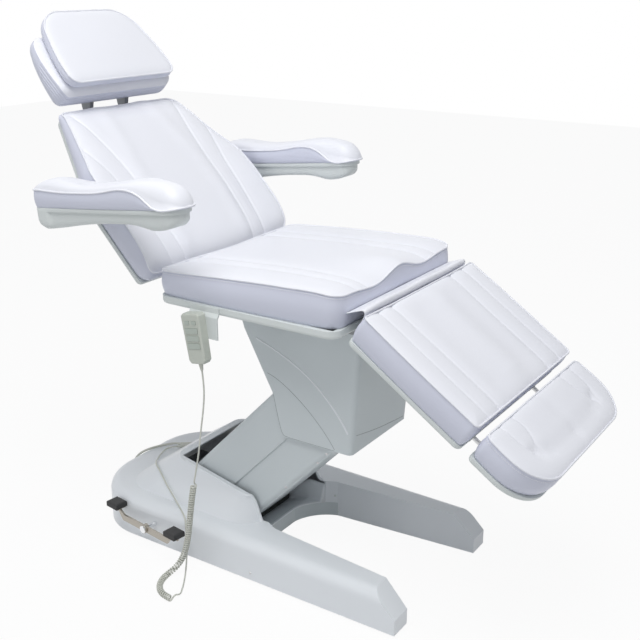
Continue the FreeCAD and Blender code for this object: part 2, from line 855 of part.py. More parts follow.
def make_column_frame():
    upper = arm_head(size.arm_foot_x, size.arm_foot_z)
    lower = arm_head(*lower_foot())
    top = size.tray_bottom
    outline = [
        (size.column_rear, top),
        (size.column_front, top),
        (size.column_front, top - 57),
        (lower[0] + 36, lower[1]),
        (lower[0], lower[1] - 30),
        (lower[0] - 34, lower[1] - 17),
        (upper[0] - 36, upper[1] - 20),
        (upper[0] - 36, upper[1] + 80),
        (size.column_rear, top - 47),
    ]
    plates = paired(slab(outline, size.link_plate), cheek_middle())
    out = cheek_middle() - size.link_plate / 2
    ties = [bar_along_y(size.column_front - 25, top - 177, 14, -out, out),
            bar_along_y(size.column_front - 80, top - 110, 12, -out, out)]
    bar_low = seat_bar_inside()
    bar_high = bar_low + size.bar_width
    back_x = size.back_hinge_x
    bar = block((back_x - 12, size.leg_hinge_x + 11), (bar_low, bar_high), (top - 24, top))
    lug = block((back_x - 12, back_x + 12), (bar_low, bar_high), (top - 24, size.back_hinge_z))
    eye = bar_along_y(back_x, size.back_hinge_z, size.back_eye, bar_low, bar_high)
    shelf = block((size.column_rear, size.column_front), (out, bar_low), (top - size.shelf, top))
    side = merged([bar, lug, eye, shelf])
    frame = merged(plates + ties + [side, side.mirror(vec(0, 0, 0), vec(0, 1, 0))])
    bores = (
        (upper[0], upper[1], size.pin_radius),
        (lower[0], lower[1], size.pin_radius),
        (back_x, size.back_hinge_z, size.back_pin),
        (size.leg_hinge_x, size.leg_hinge_z, size.leg_pin),
    )
    for x, z, radius in bores:
        frame = frame.cut(bar_along_y(x, z, radius, -300, 300))
    return formed("column_frame", frame)


def make_column_skirt():
    top = "(sizes.tray_bottom - sizes.shelf - sizes.soft_gap)"
    wall = "sizes.skirt_wall"
    skirt = padded("column_skirt", "XZ_Plane", [
        ("sizes.skirt_rear_high", top),
        ("sizes.skirt_rear_high + 24", top + " - 74"),
        ("sizes.skirt_rear_low - 28", "sizes.skirt_bottom + 122"),
        ("sizes.skirt_rear_low", "sizes.skirt_bottom"),
        ("sizes.skirt_front_low", "sizes.skirt_bottom"),
        ("sizes.skirt_front_high", top),
    ], "2 * sizes.skirt_half", True)
    front = size.skirt_front_low - 1
    rounded(skirt, size.skirt_round, lambda edge: edge.BoundBox.ZLength > 300 and edge.BoundBox.XMin > front)
    pocketed(skirt, "XZ_Plane", [
        ("sizes.skirt_rear_high + " + wall, top + " + 5"),
        ("sizes.skirt_rear_high + 24 + " + wall, top + " - 72"),
        ("sizes.skirt_rear_high + 56", top + " - 132"),
        ("sizes.skirt_rear_high - 140", top + " - 132"),
        ("sizes.skirt_rear_high - 140", "sizes.skirt_bottom - 20"),
        ("sizes.skirt_front_low - " + wall, "sizes.skirt_bottom - 20"),
        ("sizes.skirt_front_high - " + wall, top + " + 5"),
    ], "2 * (sizes.skirt_half - sizes.skirt_round)")
    pocketed(skirt, "XZ_Plane", [
        ("sizes.skirt_rear_high + " + wall, top + " + 5"),
        ("sizes.skirt_rear_high + 24 + " + wall, top + " - 72"),
        ("sizes.skirt_rear_high + 56", top + " - 132"),
        ("sizes.skirt_rear_high - 140", top + " - 132"),
        ("sizes.skirt_rear_high - 140", "sizes.skirt_bottom - 20"),
        ("sizes.skirt_front_low - sizes.skirt_round * 0.6", "sizes.skirt_bottom - 20"),
        ("sizes.skirt_front_high - sizes.skirt_round * 0.6", top + " + 5"),
    ], "2 * (sizes.skirt_half - %s)" % wall)
    pocketed(skirt, "XZ_Plane", [
        ("sizes.skirt_rear_high - 40", top + " + 5"),
        ("sizes.skirt_rear_high - 40", top + " - 70"),
        ("sizes.skirt_front_high + 40", top + " - 70"),
        ("sizes.skirt_front_high + 40", top + " + 5"),
    ], "2 * sizes.rod_slot")
    return node("column_skirt", skirt)


def make_seat_tray():
    half = "(sizes.seat_width / 2 - sizes.tray_inset)"
    rear = "(sizes.tray_front - sizes.seat_length)"

    def outline(inset):
        return [
            (rear + " + " + inset, "-" + half + " + " + inset),
            ("sizes.tray_front - " + inset, "-" + half + " + " + inset),
            ("sizes.tray_front - " + inset, half + " - " + inset),
            (rear + " + " + inset, half + " - " + inset),
        ]

    tray = padded("seat_tray", "XY_Plane", outline("0"), "sizes.tray_height")
    rounded(tray, size.tray_corner, upright_edge)
    rounded(tray, size.tray_step, lambda edge: edge.BoundBox.ZMax < 0.5)
    pocketed(tray, "XY_Plane", outline("14"), "sizes.tray_height", False, True, size.tray_floor)
    tray.Placement = FreeCAD.Placement(vec(0, 0, size.tray_bottom), FreeCAD.Rotation())
    return node("seat_tray", tray)


def make_seat_cushion():
    low = size.tray_bottom + size.tray_height + size.soft_gap
    top = low + size.seat_pad
    half = size.seat_width / 2
    rear = size.tray_front - size.seat_length
    front = size.tray_front
    crown = size.seat_crown
    seam = half - 92
    shape = pad_form([
        pad_section(rear + 5, half - 14, low, top - 28, seam, top - 24, top - 20, 3, 2),
        pad_section(rear + 26, half - 2, low, top - 7, seam, top - 3, top + 2, 6, 2),
        pad_section(rear + 120, half, low, top, seam, top + 1, top + crown - 6, 8, -3),
        pad_section(rear + 330, half, low, top, seam, top + 1, top + crown - 6, 9, -8),
        pad_section(front - 74, half - 4, low, top, seam, top + 1, top + crown, 9, -12),
        pad_section(front - 20, half - 12, low, top - 8, seam - 6, top - 6, top + crown - 8, 7, -11),
        pad_section(front - 2, half - 24, low, top - 28, seam - 12, top - 25, top - 16, 3, -5),
    ])
    return formed("seat_cushion", shape)


def make_tray_fittings():
    out = size.seat_width / 2 - 25
    low = size.tray_bottom - 12
    bumpers = [Part.makeCylinder(10, 12, vec(-185, y, low)) for y in (out, -out)]
    formed("tray_bumpers", Part.makeCompound(bumpers))
    face = "(-sizes.seat_width / 2 + sizes.tray_inset - sizes.soft_gap)"
    hung = "(-sizes.seat_width / 2 - sizes.handset_gap + 5 + sizes.soft_gap)"
    hook = padded("handset_hook", "YZ_Plane", [
        (face, "sizes.tray_bottom + 2"),
        (face, "sizes.tray_bottom + 20"),
        (face + " - 3.5", "sizes.tray_bottom + 20"),
        (face + " - 3.5", "sizes.tray_bottom + 6"),
        (hung, "sizes.tray_bottom - 4"),
        (hung, "sizes.tray_bottom - 62"),
        (hung + " + 3.5", "sizes.tray_bottom - 62"),
        (hung + " + 3.5", "sizes.tray_bottom - 8"),
    ], "92")
    hook.Placement = FreeCAD.Placement(vec(size.handset_x - 34, 0, 0), FreeCAD.Rotation())
    node("handset_hook", hook)


# Handset

def make_handset():
    half = "(sizes.handset_width / 2)"
    tall = "(sizes.handset_height / 2)"
    shell = padded("handset_shell", "XZ_Plane", [
        ("-" + half + " + 3", "-" + tall + " + 9"),
        ("-" + half + " + 10", "-" + tall),
        (half + " - 10", "-" + tall),
        (half + " - 3", "-" + tall + " + 9"),
        (half, tall + " - 6"),
        (half + " - 6", tall),
        ("-" + half + " + 6", tall),
        ("-" + half, tall + " - 6"),
    ], "sizes.handset_depth", True)
    rounded(shell, 4, lambda edge: edge.BoundBox.YLength < 0.01 and edge.BoundBox.YMin < 0)
    for name, (x, z, wide, high) in handset_keys().items():
        key = padded(name, "XZ_Plane", key_outline(x, z, wide, high, 0), "sizes.key_depth")
        rounded(key, 2, lambda edge: edge.BoundBox.YLength > 1)
        place_in_handset(key, proud_start())
        node(name, key)
        pocketed(shell, "XZ_Plane", key_outline(x, z, wide, high, size.key_play),
                 "sizes.handset_depth / 2", False, True)
    place_in_handset(shell, 0)
    boot = Part.makeCone(3.6, 6.5, size.boot_length, vec(0, 0, -size.boot_length - size.handset_height / 2))
    place_in_handset(formed("handset_boot", boot), 0)
    return node("handset_shell", shell)


def key_outline(x, z, wide, high, play):
    right = wide / 2 + play
    up = high / 2 + play
    return [(str(x - right), str(z - up)), (str(x + right), str(z - up)),
            (str(x + right), str(z + up)), (str(x - right), str(z + up))]


def proud_start():
    # the keys start inside the shell and stand proud of its face
    return size.key_depth - size.key_proud - size.handset_depth / 2


def handset_keys():
    # three wide rocker keys down the middle, and two small ones above them
    keys = {"key_memory_left": (-11, 43, 14, 9), "key_memory_right": (11, 43, 14, 9)}
    for place, name in enumerate(("key_back", "key_leg", "key_lift")):
        keys[name] = (0, 22 - 20 * place, 40, 14)
    return keys


def handset_middle():
    return -(size.seat_width / 2 + size.handset_gap + size.handset_depth / 2 - 5)


def place_in_handset(item, y):
    turned(item, size.handset_x, size.handset_z, size.handset_lean, handset_middle() + y)


def handset_end(drop):
    lean = math.radians(size.handset_lean)
    return vec(size.handset_x - drop * math.sin(lean), handset_middle(), size.handset_z - drop * math.cos(lean))


# Backrest and headrest, drawn lying back from the hinge and then raised

def raised(item, lift=0):
    lean = math.radians(size.back_angle)
    return turned(item, size.back_hinge_x + lift * math.sin(lean), size.back_hinge_z + lift * math.cos(lean),
                  size.back_angle)


def bar_middle():
    # height of the frame bars' middle in the flat place, just under the shell
    return size.back_low - size.frame_bar / 2


def make_backrest():
    end = "(sizes.back_start + sizes.back_length)"
    wide = "(sizes.seat_width / 2 - 4)"
    top = "(sizes.back_top_width / 2)"
    shell = padded("back_shell", "XY_Plane", [
        ("-sizes.back_start", "-" + wide),
        ("-sizes.back_start", wide),
        ("-sizes.back_start - sizes.back_length * 0.46", wide),
        ("-" + end, top),
        ("-" + end, "-" + top),
        ("-sizes.back_start - sizes.back_length * 0.46", "-" + wide),
    ], "sizes.back_shell")
    rounded(shell, 30, lambda edge: upright_edge(edge) and edge.BoundBox.XMin < -size.back_start - 300)
    rounded(shell, 14, lambda edge: upright_edge(edge) and edge.BoundBox.XMin > -size.back_start - 1)
    rounded(shell, 10, lambda edge: edge.BoundBox.ZMax < 0.5)
    node("back_shell", raised(shell, size.back_low))
    low = size.back_low + size.back_shell + size.soft_gap
    edge = low + size.back_pad - 1
    half = size.seat_width / 2
    top_half = size.back_top_width / 2
    start = size.back_start
    length = size.back_length

    def station(share, width, rim, panel, middle, bolster, dip):
        seam = width * (0.72 - 0.12 * share)
        return pad_section(-start - share * length, width, low, rim, seam, panel, middle, bolster, dip)

    rise = size.wing_rise
    cushion = pad_form([
        station(-0.008, half - 14, edge - 15, edge - 14, edge - 14, 3, 1),
        station(0.03, half - 2, edge + rise * 0.25, edge - 3, edge - 2, 7, 1),
        station(0.17, half, edge + rise * 0.7, edge, edge + 1, 10, 2),
        station(0.45, half - 2, edge + rise * 0.6, edge + 1, edge + 2, 9, 3),
        station(0.64, half * 0.46 + top_half * 0.62, edge + rise * 0.2, edge + 1, edge + 3, 7, 3),
        station(0.85, top_half * 1.13, edge, edge, edge + 2, 6, 2),
        station(0.965, top_half * 1.03, edge - 6, edge - 3, edge - 1, 5, 1),
        station(0.997, top_half - 4, edge - 22, edge - 18, edge - 16, 3, 1),
    ])
    raised(formed("back_cushion", cushion))
    make_back_frame()


def make_back_frame():
    low = size.back_low - size.frame_bar
    high = size.back_low
    inner = size.frame_half - size.bar_width / 2
    outer = size.frame_half + size.bar_width / 2
    end = size.back_start + size.back_length
    rails = paired(block((-end, 0), (-size.bar_width / 2, size.bar_width / 2), (low, high)), size.frame_half)
    cross = [block((-x - 26, -x), (-outer, outer), (low, high)) for x in (end - 26, 190)]
    tube_pieces = [bar_along_y(0, 0, size.back_eye, -outer, outer)]
    pivot = size.head_pivot
    lugs = []
    for side in (1, -1):
        span = sorted((side * size.head_lug, side * (size.head_lug + 14)))
        lugs.append(block((-pivot, -end + 20), span, (low, high)))
        lugs.append(bar_along_y(-pivot, bar_middle(), 10, *span))
    lean = swing(size.back_crank, size.back_recline, size.back_raise)[0]
    frame = merged(rails + cross + tube_pieces + lugs + crank_pair(size.back_crank, lean - size.back_angle))
    frame = frame.cut(bar_along_y(0, 0, size.back_pin + size.pin_play, -300, 300))
    frame = frame.cut(bar_along_y(-pivot, bar_middle(), size.head_pin, -300, 300))
    frame = frame.cut(bar_along_y(-size.rest_pivot, bar_middle(), size.rest_pin, -300, 300))
    raised(formed("back_frame", frame))
    reach = size.seat_width / 2 + size.rest_gap + size.rest_bore - 2
    pins = [bar_along_y(-pivot, bar_middle(), size.head_pin, -size.head_lug - 16, size.head_lug + 16)]
    pins += paired_span(-size.rest_pivot, bar_middle(), size.rest_pin, inner, reach)
    raised(formed("back_pins", Part.makeCompound(pins)))


def paired_span(x, z, radius, low, high):
    return [bar_along_y(x, z, radius, low, high), bar_along_y(x, z, radius, -high, -low)]


def head_back(along):
    # the sloping back of the headrest block
    share = (along - size.head_start) / size.head_length
    return size.head_back_low + share * (size.head_back_high - size.head_back_low)


def make_headrest():
    start = size.head_start
    length = size.head_length
    half = size.head_width / 2
    front = size.head_front

    def station(along, width, rim, middle, bolster):
        return pad_section(-along, width, head_back(along), rim, width - 70, rim + 1.5, middle, bolster, 1, 5, 7)

    block_form = pad_form([
        station(start, half - 10, front - 10, front - 8, 1),
        station(start + 14, half - 1, front - 2, front, 1),
        station(start + length * 0.5, half, front - 1.5, front, 1),
        station(start + length - 16, half - 3, front - 2, front, 1),
        station(start + length, half - 12, front - 10, front - 8, 1),
    ])
    raised(formed("headrest_block", block_form))
    low = block_form.optimalBoundingBox(False).ZMax + size.soft_gap
    high = low + size.pillow_pad
    wide = size.pillow_width / 2
    narrow = size.pillow_top_width / 2
    first = size.pillow_start
    run = size.pillow_length

    def pillow(share, width, rim, middle, bolster):
        return pad_section(-first - share * run, width, low, rim, width * 0.72, rim + bolster, middle, 2, 1, 5, 9)

    pillow_form = pad_form([
        pillow(0, wide - 14, high - 20, high - 14, 3),
        pillow(0.03, wide, high - 12, high - 5, 5),
        pillow(0.3, wide - 4, high - 10, high, 7),
        pillow(0.6, wide - 24, high - 10, high, 7),
        pillow(0.82, narrow + 9, high - 11, high - 2, 6),
        pillow(0.945, narrow - 18, high - 15, high - 8, 5),
        pillow(1, narrow - 56, high - 25, high - 20, 3),
    ])
    raised(formed("headrest_pillow", pillow_form))
    pivot = size.head_pivot
    middle = bar_middle()
    rise = size.soft_gap
    outline = [
        (-pivot + 9, middle - 6),
        (-pivot - 6, middle - 9),
        (-start - 96, head_back(start + 96) - 12),
        (-start - 130, head_back(start + 130) - rise),
        (-start - 12, head_back(start + 12) - rise),
        (-pivot + 9, middle + 6),
    ]
    arms = []
    for arm in paired(slab(outline, 14), size.head_lug - 9):
        centre = arm.CenterOfMass.y
        arms.append(arm.fuse(bar_along_y(-pivot, middle, 10, centre - 7, centre + 7)))
    tie = block((-start - 90, -start - 60), (9 - size.head_lug, size.head_lug - 9),
                (head_back(start + 60) - 9, head_back(start + 60) - rise))
    bracket = merged(arms + [tie]).cut(bar_along_y(-pivot, middle, size.head_pin + size.pin_play, -300, 300))
    raised(formed("headrest_bracket", bracket))


# Armrests stand level beside the back and turn on its pins

def rest_pivot_place():
    lean = math.radians(size.back_angle)
    along = size.rest_pivot
    out = bar_middle()
    return (size.back_hinge_x - along * math.cos(lean) + out * math.sin(lean),
            size.back_hinge_z + along * math.sin(lean) + out * math.cos(lean))


def along_underside(edge):
    # the long lower edges of an armrest's base, drawn at its pivot
    reach = edge.BoundBox
    return reach.YLength < 0.01 and reach.XLength > 20 and reach.ZMin < size.rest_base_high - 1


def make_armrests():
    pivot_x, pivot_z = rest_pivot_place()
    inner = size.seat_width / 2 + size.rest_gap
    middle = inner + size.rest_width / 2
    for side, name in ((-1, "left"), (1, "right")):
        base = padded("armrest_base_" + name, "XZ_Plane", [
            ("-sizes.rest_rear", "sizes.rest_base_high"),
            ("-sizes.rest_rear", "6"),
            ("-sizes.rest_rear + 16", "-sizes.rest_hub"),
            ("sizes.rest_hub", "-sizes.rest_hub"),
            ("sizes.rest_front * 0.5", "sizes.rest_base_low"),
            ("sizes.rest_front - 40", "sizes.rest_base_low"),
            ("sizes.rest_front - 8", "sizes.rest_base_low + 12"),
            ("sizes.rest_front", "sizes.rest_base_high"),
        ], "sizes.rest_width - 6", True)
        rounded(base, 11, along_underside)
        lifted = FreeCAD.Rotation(vec(0, 1, 0), -size.rest_lift)
        base.Placement = FreeCAD.Placement(vec(pivot_x, side * middle, pivot_z), lifted)
        bore = cross_bore("armrest_bore_" + name, "sizes.rest_pin + sizes.pin_play", "2 * sizes.rest_bore",
                          vec(pivot_x, side * inner - size.rest_bore, pivot_z))
        node("armrest_base_" + name, less("armrest_bored_" + name, base, bore))
        low = pivot_z + size.rest_base_high + size.soft_gap
        half = size.rest_width / 2

        def station(along, width, rise):
            x = pivot_x - size.rest_rear + along * (size.rest_rear + size.rest_front + 10)
            rim = low + rise * size.rest_pad - 5
            return pad_section(x, width, low, rim, width * 0.55, rim + 3, rim + 5, 1.2, 0.8, 3, 4, side * middle)

        pad = pad_form([
            station(0, half - 7, 0.55),
            station(0.025, half - 1, 0.72),
            station(0.14, half, 0.91),
            station(0.32, half, 0.84),
            station(0.52, half, 0.86),
            station(0.7, half, 0.97),
            station(0.81, half, 1.0),
            station(0.905, half - 1, 0.86),
            station(0.965, half - 3, 0.58),
            station(1, half - 9, 0.26),
        ])
        pad.rotate(vec(pivot_x, 0, pivot_z), vec(0, 1, 0), -size.rest_lift)
        formed("armrest_pad_" + name, pad)


# Leg rest and footrest, drawn level from the leg hinge and then lowered

def lowered(item, lift=0):
    lean = math.radians(size.leg_angle)
    return turned(item, size.leg_hinge_x + lift * math.sin(lean), size.leg_hinge_z + lift * math.cos(lean),
                  size.leg_angle)


def make_legrest():
    start = size.leg_start
    end = start + size.leg_length
    half = size.leg_width / 2
    wide = "(sizes.leg_width / 2 - 4)"
    shell = padded("leg_shell", "XY_Plane", [
        ("sizes.leg_start", "-" + wide),
        ("sizes.leg_start + sizes.leg_length", "-" + wide),
        ("sizes.leg_start + sizes.leg_length", wide),
        ("sizes.leg_start", wide),
    ], "sizes.leg_shell")
    rounded(shell, 16, upright_edge)
    rounded(shell, 9, lambda edge: edge.BoundBox.ZMax < 0.5)
    node("leg_shell", lowered(shell, size.leg_low))
    low = size.leg_low + size.leg_shell + size.soft_gap
    top = low + size.leg_pad + 11
    seam = half - 66
    cushion = pad_form([
        pad_section(start + 2, half - 14, low, top - 22, seam, top - 22, top - 18, 3, -4),
        pad_section(start + 20, half - 3, low, top - 7, seam, top - 6, top - 2, 6, -10),
        pad_section(start + 110, half, low, top - 3, seam, top - 3, top, 8, -17),
        pad_section(end - 80, half, low, top - 3, seam, top - 3, top, 8, -17),
        pad_section(end - 20, half - 3, low, top - 9, seam, top - 8, top - 3, 6, -12),
        pad_section(end - 1, half - 16, low, top - 30, seam, top - 28, top - 24, 3, -4),
    ])
    lowered(formed("leg_cushion", cushion))
    flap_end = start + 2 - size.soft_gap
    flap = block((flap_end - 4, flap_end), (30 - half, half - 30), (low + 4, top - 28))
    lowered(formed("seat_flap", flap))
    make_leg_frame()


def rod_middle():
    # the rods run deep enough in their guides to leave a wall above them
    return size.leg_low - size.rod_radius - 2


def make_leg_frame():
    high = size.leg_low - size.soft_gap
    low = high - 2 * size.rod_radius
    outer = size.frame_half + size.bar_width / 2
    end = size.leg_start + size.leg_length
    rails = paired(block((0, end - 26), (-size.bar_width / 2, size.bar_width / 2), (low, high)), size.frame_half)
    guide_out = outer + 20
    cross = [block((x, x + 30), (-guide_out, guide_out), (low, high)) for x in (end - 76, 100)]
    guides = paired(block((end - 116, end - 2), (-11, 11), (low - 5, high)), guide_out)
    lean = swing(size.leg_crank, size.leg_raise, size.leg_lower)[0]
    hub = [bar_along_y(0, 0, size.leg_eye, -outer, outer)]
    frame = merged(rails + cross + guides + hub + crank_pair(size.leg_crank, lean - size.leg_angle))
    frame = frame.cut(bar_along_y(0, 0, size.leg_pin + size.pin_play, -300, 300))
    for y in (guide_out, -guide_out):
        frame = frame.cut(bar_along_x(60, end + 50, size.rod_radius + size.pin_play, rod_middle(), y))
    lowered(formed("leg_frame", frame))


def make_footrest():
    start = "(sizes.leg_start + sizes.leg_length + sizes.foot_gap)"
    wide = "(sizes.foot_width / 2 - 4)"
    shell = padded("foot_shell", "XY_Plane", [
        (start, "-" + wide),
        (start + " + sizes.foot_length", "-" + wide),
        (start + " + sizes.foot_length", wide),
        (start, wide),
    ], "sizes.leg_shell")
    near = evaluate(start)
    rounded(shell, size.foot_corner, lambda edge: upright_edge(edge) and edge.BoundBox.XMin > near + 1)
    rounded(shell, 14, lambda edge: upright_edge(edge) and edge.BoundBox.XMin < near + 1)
    rounded(shell, 9, lambda edge: edge.BoundBox.ZMax < 0.5)
    node("foot_shell", lowered(shell, size.leg_low))
    low = size.leg_low + size.leg_shell + size.soft_gap
    top = low + size.leg_pad + 11
    half = size.foot_width / 2
    far = near + size.foot_length

    def station(x, width, rim, middle, bolster, dip):
        return pad_section(x, width, low, rim, width - 74, rim + 1, middle, bolster, dip)

    def rounded_half(back):
        # half width at a distance behind the front, following the corner's arc
        reach = size.foot_corner
        return half - reach + math.sqrt(reach ** 2 - (reach - back) ** 2)

    cushion = pad_form([
        station(near + 1, half - 16, top - 26, top - 22, 3, 1),
        station(near + 18, half - 3, top - 8, top - 4, 6, -2),
        station(near + 90, half, top - 5, top - 2, 7, -4),
        station(far - 62, rounded_half(62), top - 5, top - 2, 7, -4),
        station(far - 26, rounded_half(26), top - 9, top - 4, 6, -3),
        station(far - 7, rounded_half(7), top - 22, top - 17, 4, -1),
        station(far - 0.5, rounded_half(2) - 6, top - 40, top - 36, 2, 1),
    ])
    lowered(formed("foot_cushion", cushion))
    out = size.frame_half + size.bar_width / 2 + 20
    low_end = near - 206
    rods = []
    for y in (out, -out):
        rod = bar_along_x(low_end, near + 60, size.rod_radius, rod_middle(), y)
        pad = block((near + 34, near + 96), (y - 16, y + 16), (size.leg_low - 6, size.leg_low - size.soft_gap))
        rods.append(rod.fuse(pad).removeSplitter())
    lowered(formed("foot_rods", Part.makeCompound(rods)))


# Foot pedal that rocks on a pin at the base's side

def make_pedal():
    y = -(size.base_width / 2 + size.pedal_reach)
    place = FreeCAD.Placement(vec(size.pedal_x, y, size.pedal_z), FreeCAD.Rotation(vec(0, 0, 1), size.pedal_turn))
    reach = size.pedal_length / 2
    outline = [
        (-reach, 17), (-reach + 26, 17), (-reach + 46, -10), (reach - 46, -10), (reach - 26, 17), (reach, 17),
        (reach, 23), (reach - 30, 23), (reach - 52, 9), (52 - reach, 9), (30 - reach, 23), (-reach, 23),
    ]
    bar = slab(outline, 6)
    hub = bar_along_y(0, 0, 13, -7, 7)
    plates = [block((x - 19, x + 19), (-16, 16), (23, 26)) for x in (reach - 19, 19 - reach)]
    whole = merged([bar, hub] + plates).cut(bar_along_y(0, 0, size.pedal_pin + size.pin_play, -40, 40))
    formed("pedal_bar", whole).Placement = place
    pads = []
    for x in (reach - 17, 17 - reach):
        pad = block((x - 23, x + 23), (-20, 20), (26, 26 + size.pedal_pad))
        pads.append(pad.makeFillet(5, [edge for edge in pad.Edges if edge.BoundBox.ZMin > 26.5]))
    formed("pedal_pads", Part.makeCompound(pads)).Placement = place
    lean = math.radians(abs(size.pedal_turn))
    short = size.pedal_pin * math.sin(lean) + size.soft_gap
    inner = (size.pedal_reach - short) / math.cos(lean)
    pin = bar_along_y(0, 0, size.pedal_pin, -8, inner).fuse(bar_along_y(0, 0, 11, -11, -7.4))
    formed("pedal_pin", pin.removeSplitter()).Placement = place


# Leads

def sampled_axis(path, count):
    # points and transported frames, evenly spaced along a path
    spots = path.discretize(Number=count)
    ahead = [spots[1] - spots[0]]
    for before, after in zip(spots, spots[2:]):
        ahead.append(after - before)
    ahead.append(spots[-1] - spots[-2])
    side = vec(0, 1, 0)
    frames = []
    for heading in ahead:
        heading.normalize()
        side = side - heading * side.dot(heading)
        side.normalize()
        frames.append((vec(heading.x, heading.y, heading.z), vec(side.x, side.y, side.z)))
    return spots, frames


def curled(name, points):
    # curls about a route: they start from its middle line and leave at its underside, along a curl
    path, radii = tube_path(points)
    count = int(size.curl_count)
    radius = (size.curl_diameter - size.lead_diameter) / 2
    steps = 2 * count
    run = 14
    total = steps * 40
    spots, frames = sampled_axis(path, total + 1)
    margin = int(run / path.Length * total)
    along, side = frames[-1]
    up = along.cross(side)
    phase = math.atan2(-up.z, -side.z)
    advance = (path.Length - run) / count / (2 * math.pi)
    places = [spots[0]]
    headings = [frames[0][0]]
    for index in range(steps + 1):
        at = margin + round(index * (total - margin) / steps)
        along, side = frames[at]
        up = along.cross(side)
        sign = 1 if (steps - index) % 2 == 0 else -1
        outward = (side * math.cos(phase) + up * math.sin(phase)) * sign
        places.append(spots[at] + outward * radius)
        heading = along * advance + along.cross(outward) * radius
        heading.normalize()
        headings.append(heading)
    print(name, "axis length", round(path.Length), "bend radii", radii)
    return wound(name, places, headings, size.lead_diameter, size.lead_diameter, size.lead_diameter)


def coil(name, centre, low):
    # spirals in, climbs a layer where it turns, and spirals out above
    places = []
    headings = []
    step = size.coil_step
    turns = int(size.coil_turns)
    inner = size.coil_inner
    radii = [inner + step * (turns - half / 2) for half in range(2 * turns + 1)]
    radii.append(inner - 3.5)
    radii += [inner + 4.5 + step * (half // 2) + 3 * (half % 2) for half in range(2 * turns)]
    for half, radius in enumerate(radii):
        angle = math.pi * half
        level = low if half <= 2 * turns else low + step
        places.append(vec(centre[0] + radius * math.cos(angle), centre[1] + radius * math.sin(angle), level))
        headings.append(vec(-math.sin(angle), math.cos(angle), 0))
    return wound(name, places, headings, size.mains_diameter, size.mains_diameter, size.coil_tail)


def path_end(path):
    last = path.OrderedEdges[-1]
    return last.valueAt(last.LastParameter), last.tangentAt(last.LastParameter)


def path_start(path):
    first = path.OrderedEdges[0]
    return first.valueAt(first.FirstParameter), first.tangentAt(first.FirstParameter)


def gland(tip, axis, outside, radius):
    # a tapered sleeve that seats on the housing and points along the lead
    back = tip - axis * size.gland_length
    sleeve = Part.makeCone(size.gland_radius, radius + 1.2, size.gland_length, back, axis)
    return max(sleeve.cut(outside).Solids, key=lambda solid: solid.Volume)


def point(spot):
    return (spot.x, spot.y, spot.z)


def make_leads():
    boot_end = handset_end(size.handset_height / 2 + size.boot_length)
    heading = boot_end - handset_end(0)
    heading.normalize()
    y = boot_end.y
    curl, curl_path = curled("handset_curl", [
        (-174.2, y, 301.5), (-182, y, 268), (-190, y, 222), (-197, y, 176), (-204, y, 132), (-213, y, 93),
        (-222, y - 2, 61), (-233, y - 7, 37), (-243, y - 20, 19), (-249, y - 40, 11.5), (-246, y - 66, 11),
        (-235, y - 92, 11), (-216, y - 112, 11), (-192, y - 124, 11), (-165, y - 126, 11),
    ])
    start, curl_heading = path_start(curl_path)
    lead("handset_lead", [
        point(boot_end), point(boot_end + heading * 38), (-128, y, 553), (-134, y, 511), (-142, y, 468),
        (-149, y, 424), (-156, y, 382), point(start - curl_heading * 38), point(start),
    ], size.lead_diameter)
    end, heading = path_end(curl_path)
    low = end.z
    gland_tail = vec(-573, 44, 143)
    tail_axis = vec(-0.68, -0.73, 0)
    tail_axis.normalize()
    gland_mains = vec(-576, 66, 143)
    mains_axis = vec(-0.96, -0.28, 0)
    mains_axis.normalize()
    lead("handset_tail", [
        point(end), point(end + heading * 15), (-162, -422, low), (-176, -397, low), (-194, -369, low),
        (-214, -341, low), (-235, -313, low + 1), (-252, -291, low + 7), (-262, -277, low + 22), (-266, -271, 47),
        (-267, -270, 70), (-268, -269.5, 90), (-271, -266, 106), (-278, -259.5, 117), (-291, -250.5, 124.5),
        (-313, -237, 128.5), (-341, -220.5, 132.5), (-373, -204.5, 145), (-398, -198, 163), (-421, -190, 182.5),
        (-446, -177, 192.5), (-470, -162, 193.5), (-491, -142, 188), (-512, -118, 178), (-533, -93, 165),
        (-554, -68, 151), (-573, -44, 141), (-587, -20, 137), (-593, 3, 138), (-593, 18, 141),
        point(gland_tail + tail_axis * 16), point(gland_tail),
    ], size.lead_diameter)
    centre = (-712, 190)
    coil_low = size.mains_diameter / 2 + size.tie_wall + 2 * size.soft_gap
    coiled, coil_path = coil("mains_coil", centre, coil_low)
    start, inward = path_start(coil_path)
    lead("mains_lead", [
        point(gland_mains), point(gland_mains + mains_axis * 17), (-610, 51, 139.5), (-627, 33, 137),
        (-641, 9, 136), (-654, -15, 132.5), (-667, -33, 123), (-676.5, -46, 104), (-680, -53, 80),
        (-682, -55, 56), (-684, -52, 34), (-686, -42, 17), (-688, -24, 8), (-690, 0, coil_low),
        (-691, 28, coil_low), (-690.5, 58, coil_low), (-687, 88, coil_low), (-680, 115, coil_low),
        (-670, 138, coil_low), point(start - inward * 22), point(start),
    ], size.mains_diameter)
    end, heading = path_end(coil_path)
    outside = base_outside(-size.soft_gap)
    formed("cable_gland", merged([
        gland(gland_tail, tail_axis, outside, size.lead_diameter / 2),
        gland(gland_mains, mains_axis, outside, size.mains_diameter / 2),
    ]))
    make_plug(end)
    make_coil_tie(centre, coil_low)


def make_plug(entry):
    # the plug lies beside the coil with its lead coming in square to its rear face
    wide = size.plug_width / 2
    low = 0.2
    front = entry.y - size.plug_length
    body = block((entry.x - wide, entry.x + wide), (front, entry.y), (low, low + size.plug_height))
    body = body.makeFillet(6, [edge for edge in body.Edges if edge.BoundBox.YLength > 1 and edge.BoundBox.ZMin > 5])
    middle = low + size.plug_height / 2
    prongs = [bar_along_y(entry.x + x, middle, 2.4, front - 18.5, front + 0.5) for x in (-9.5, 9.5)]
    formed("mains_plug", merged([body] + prongs))


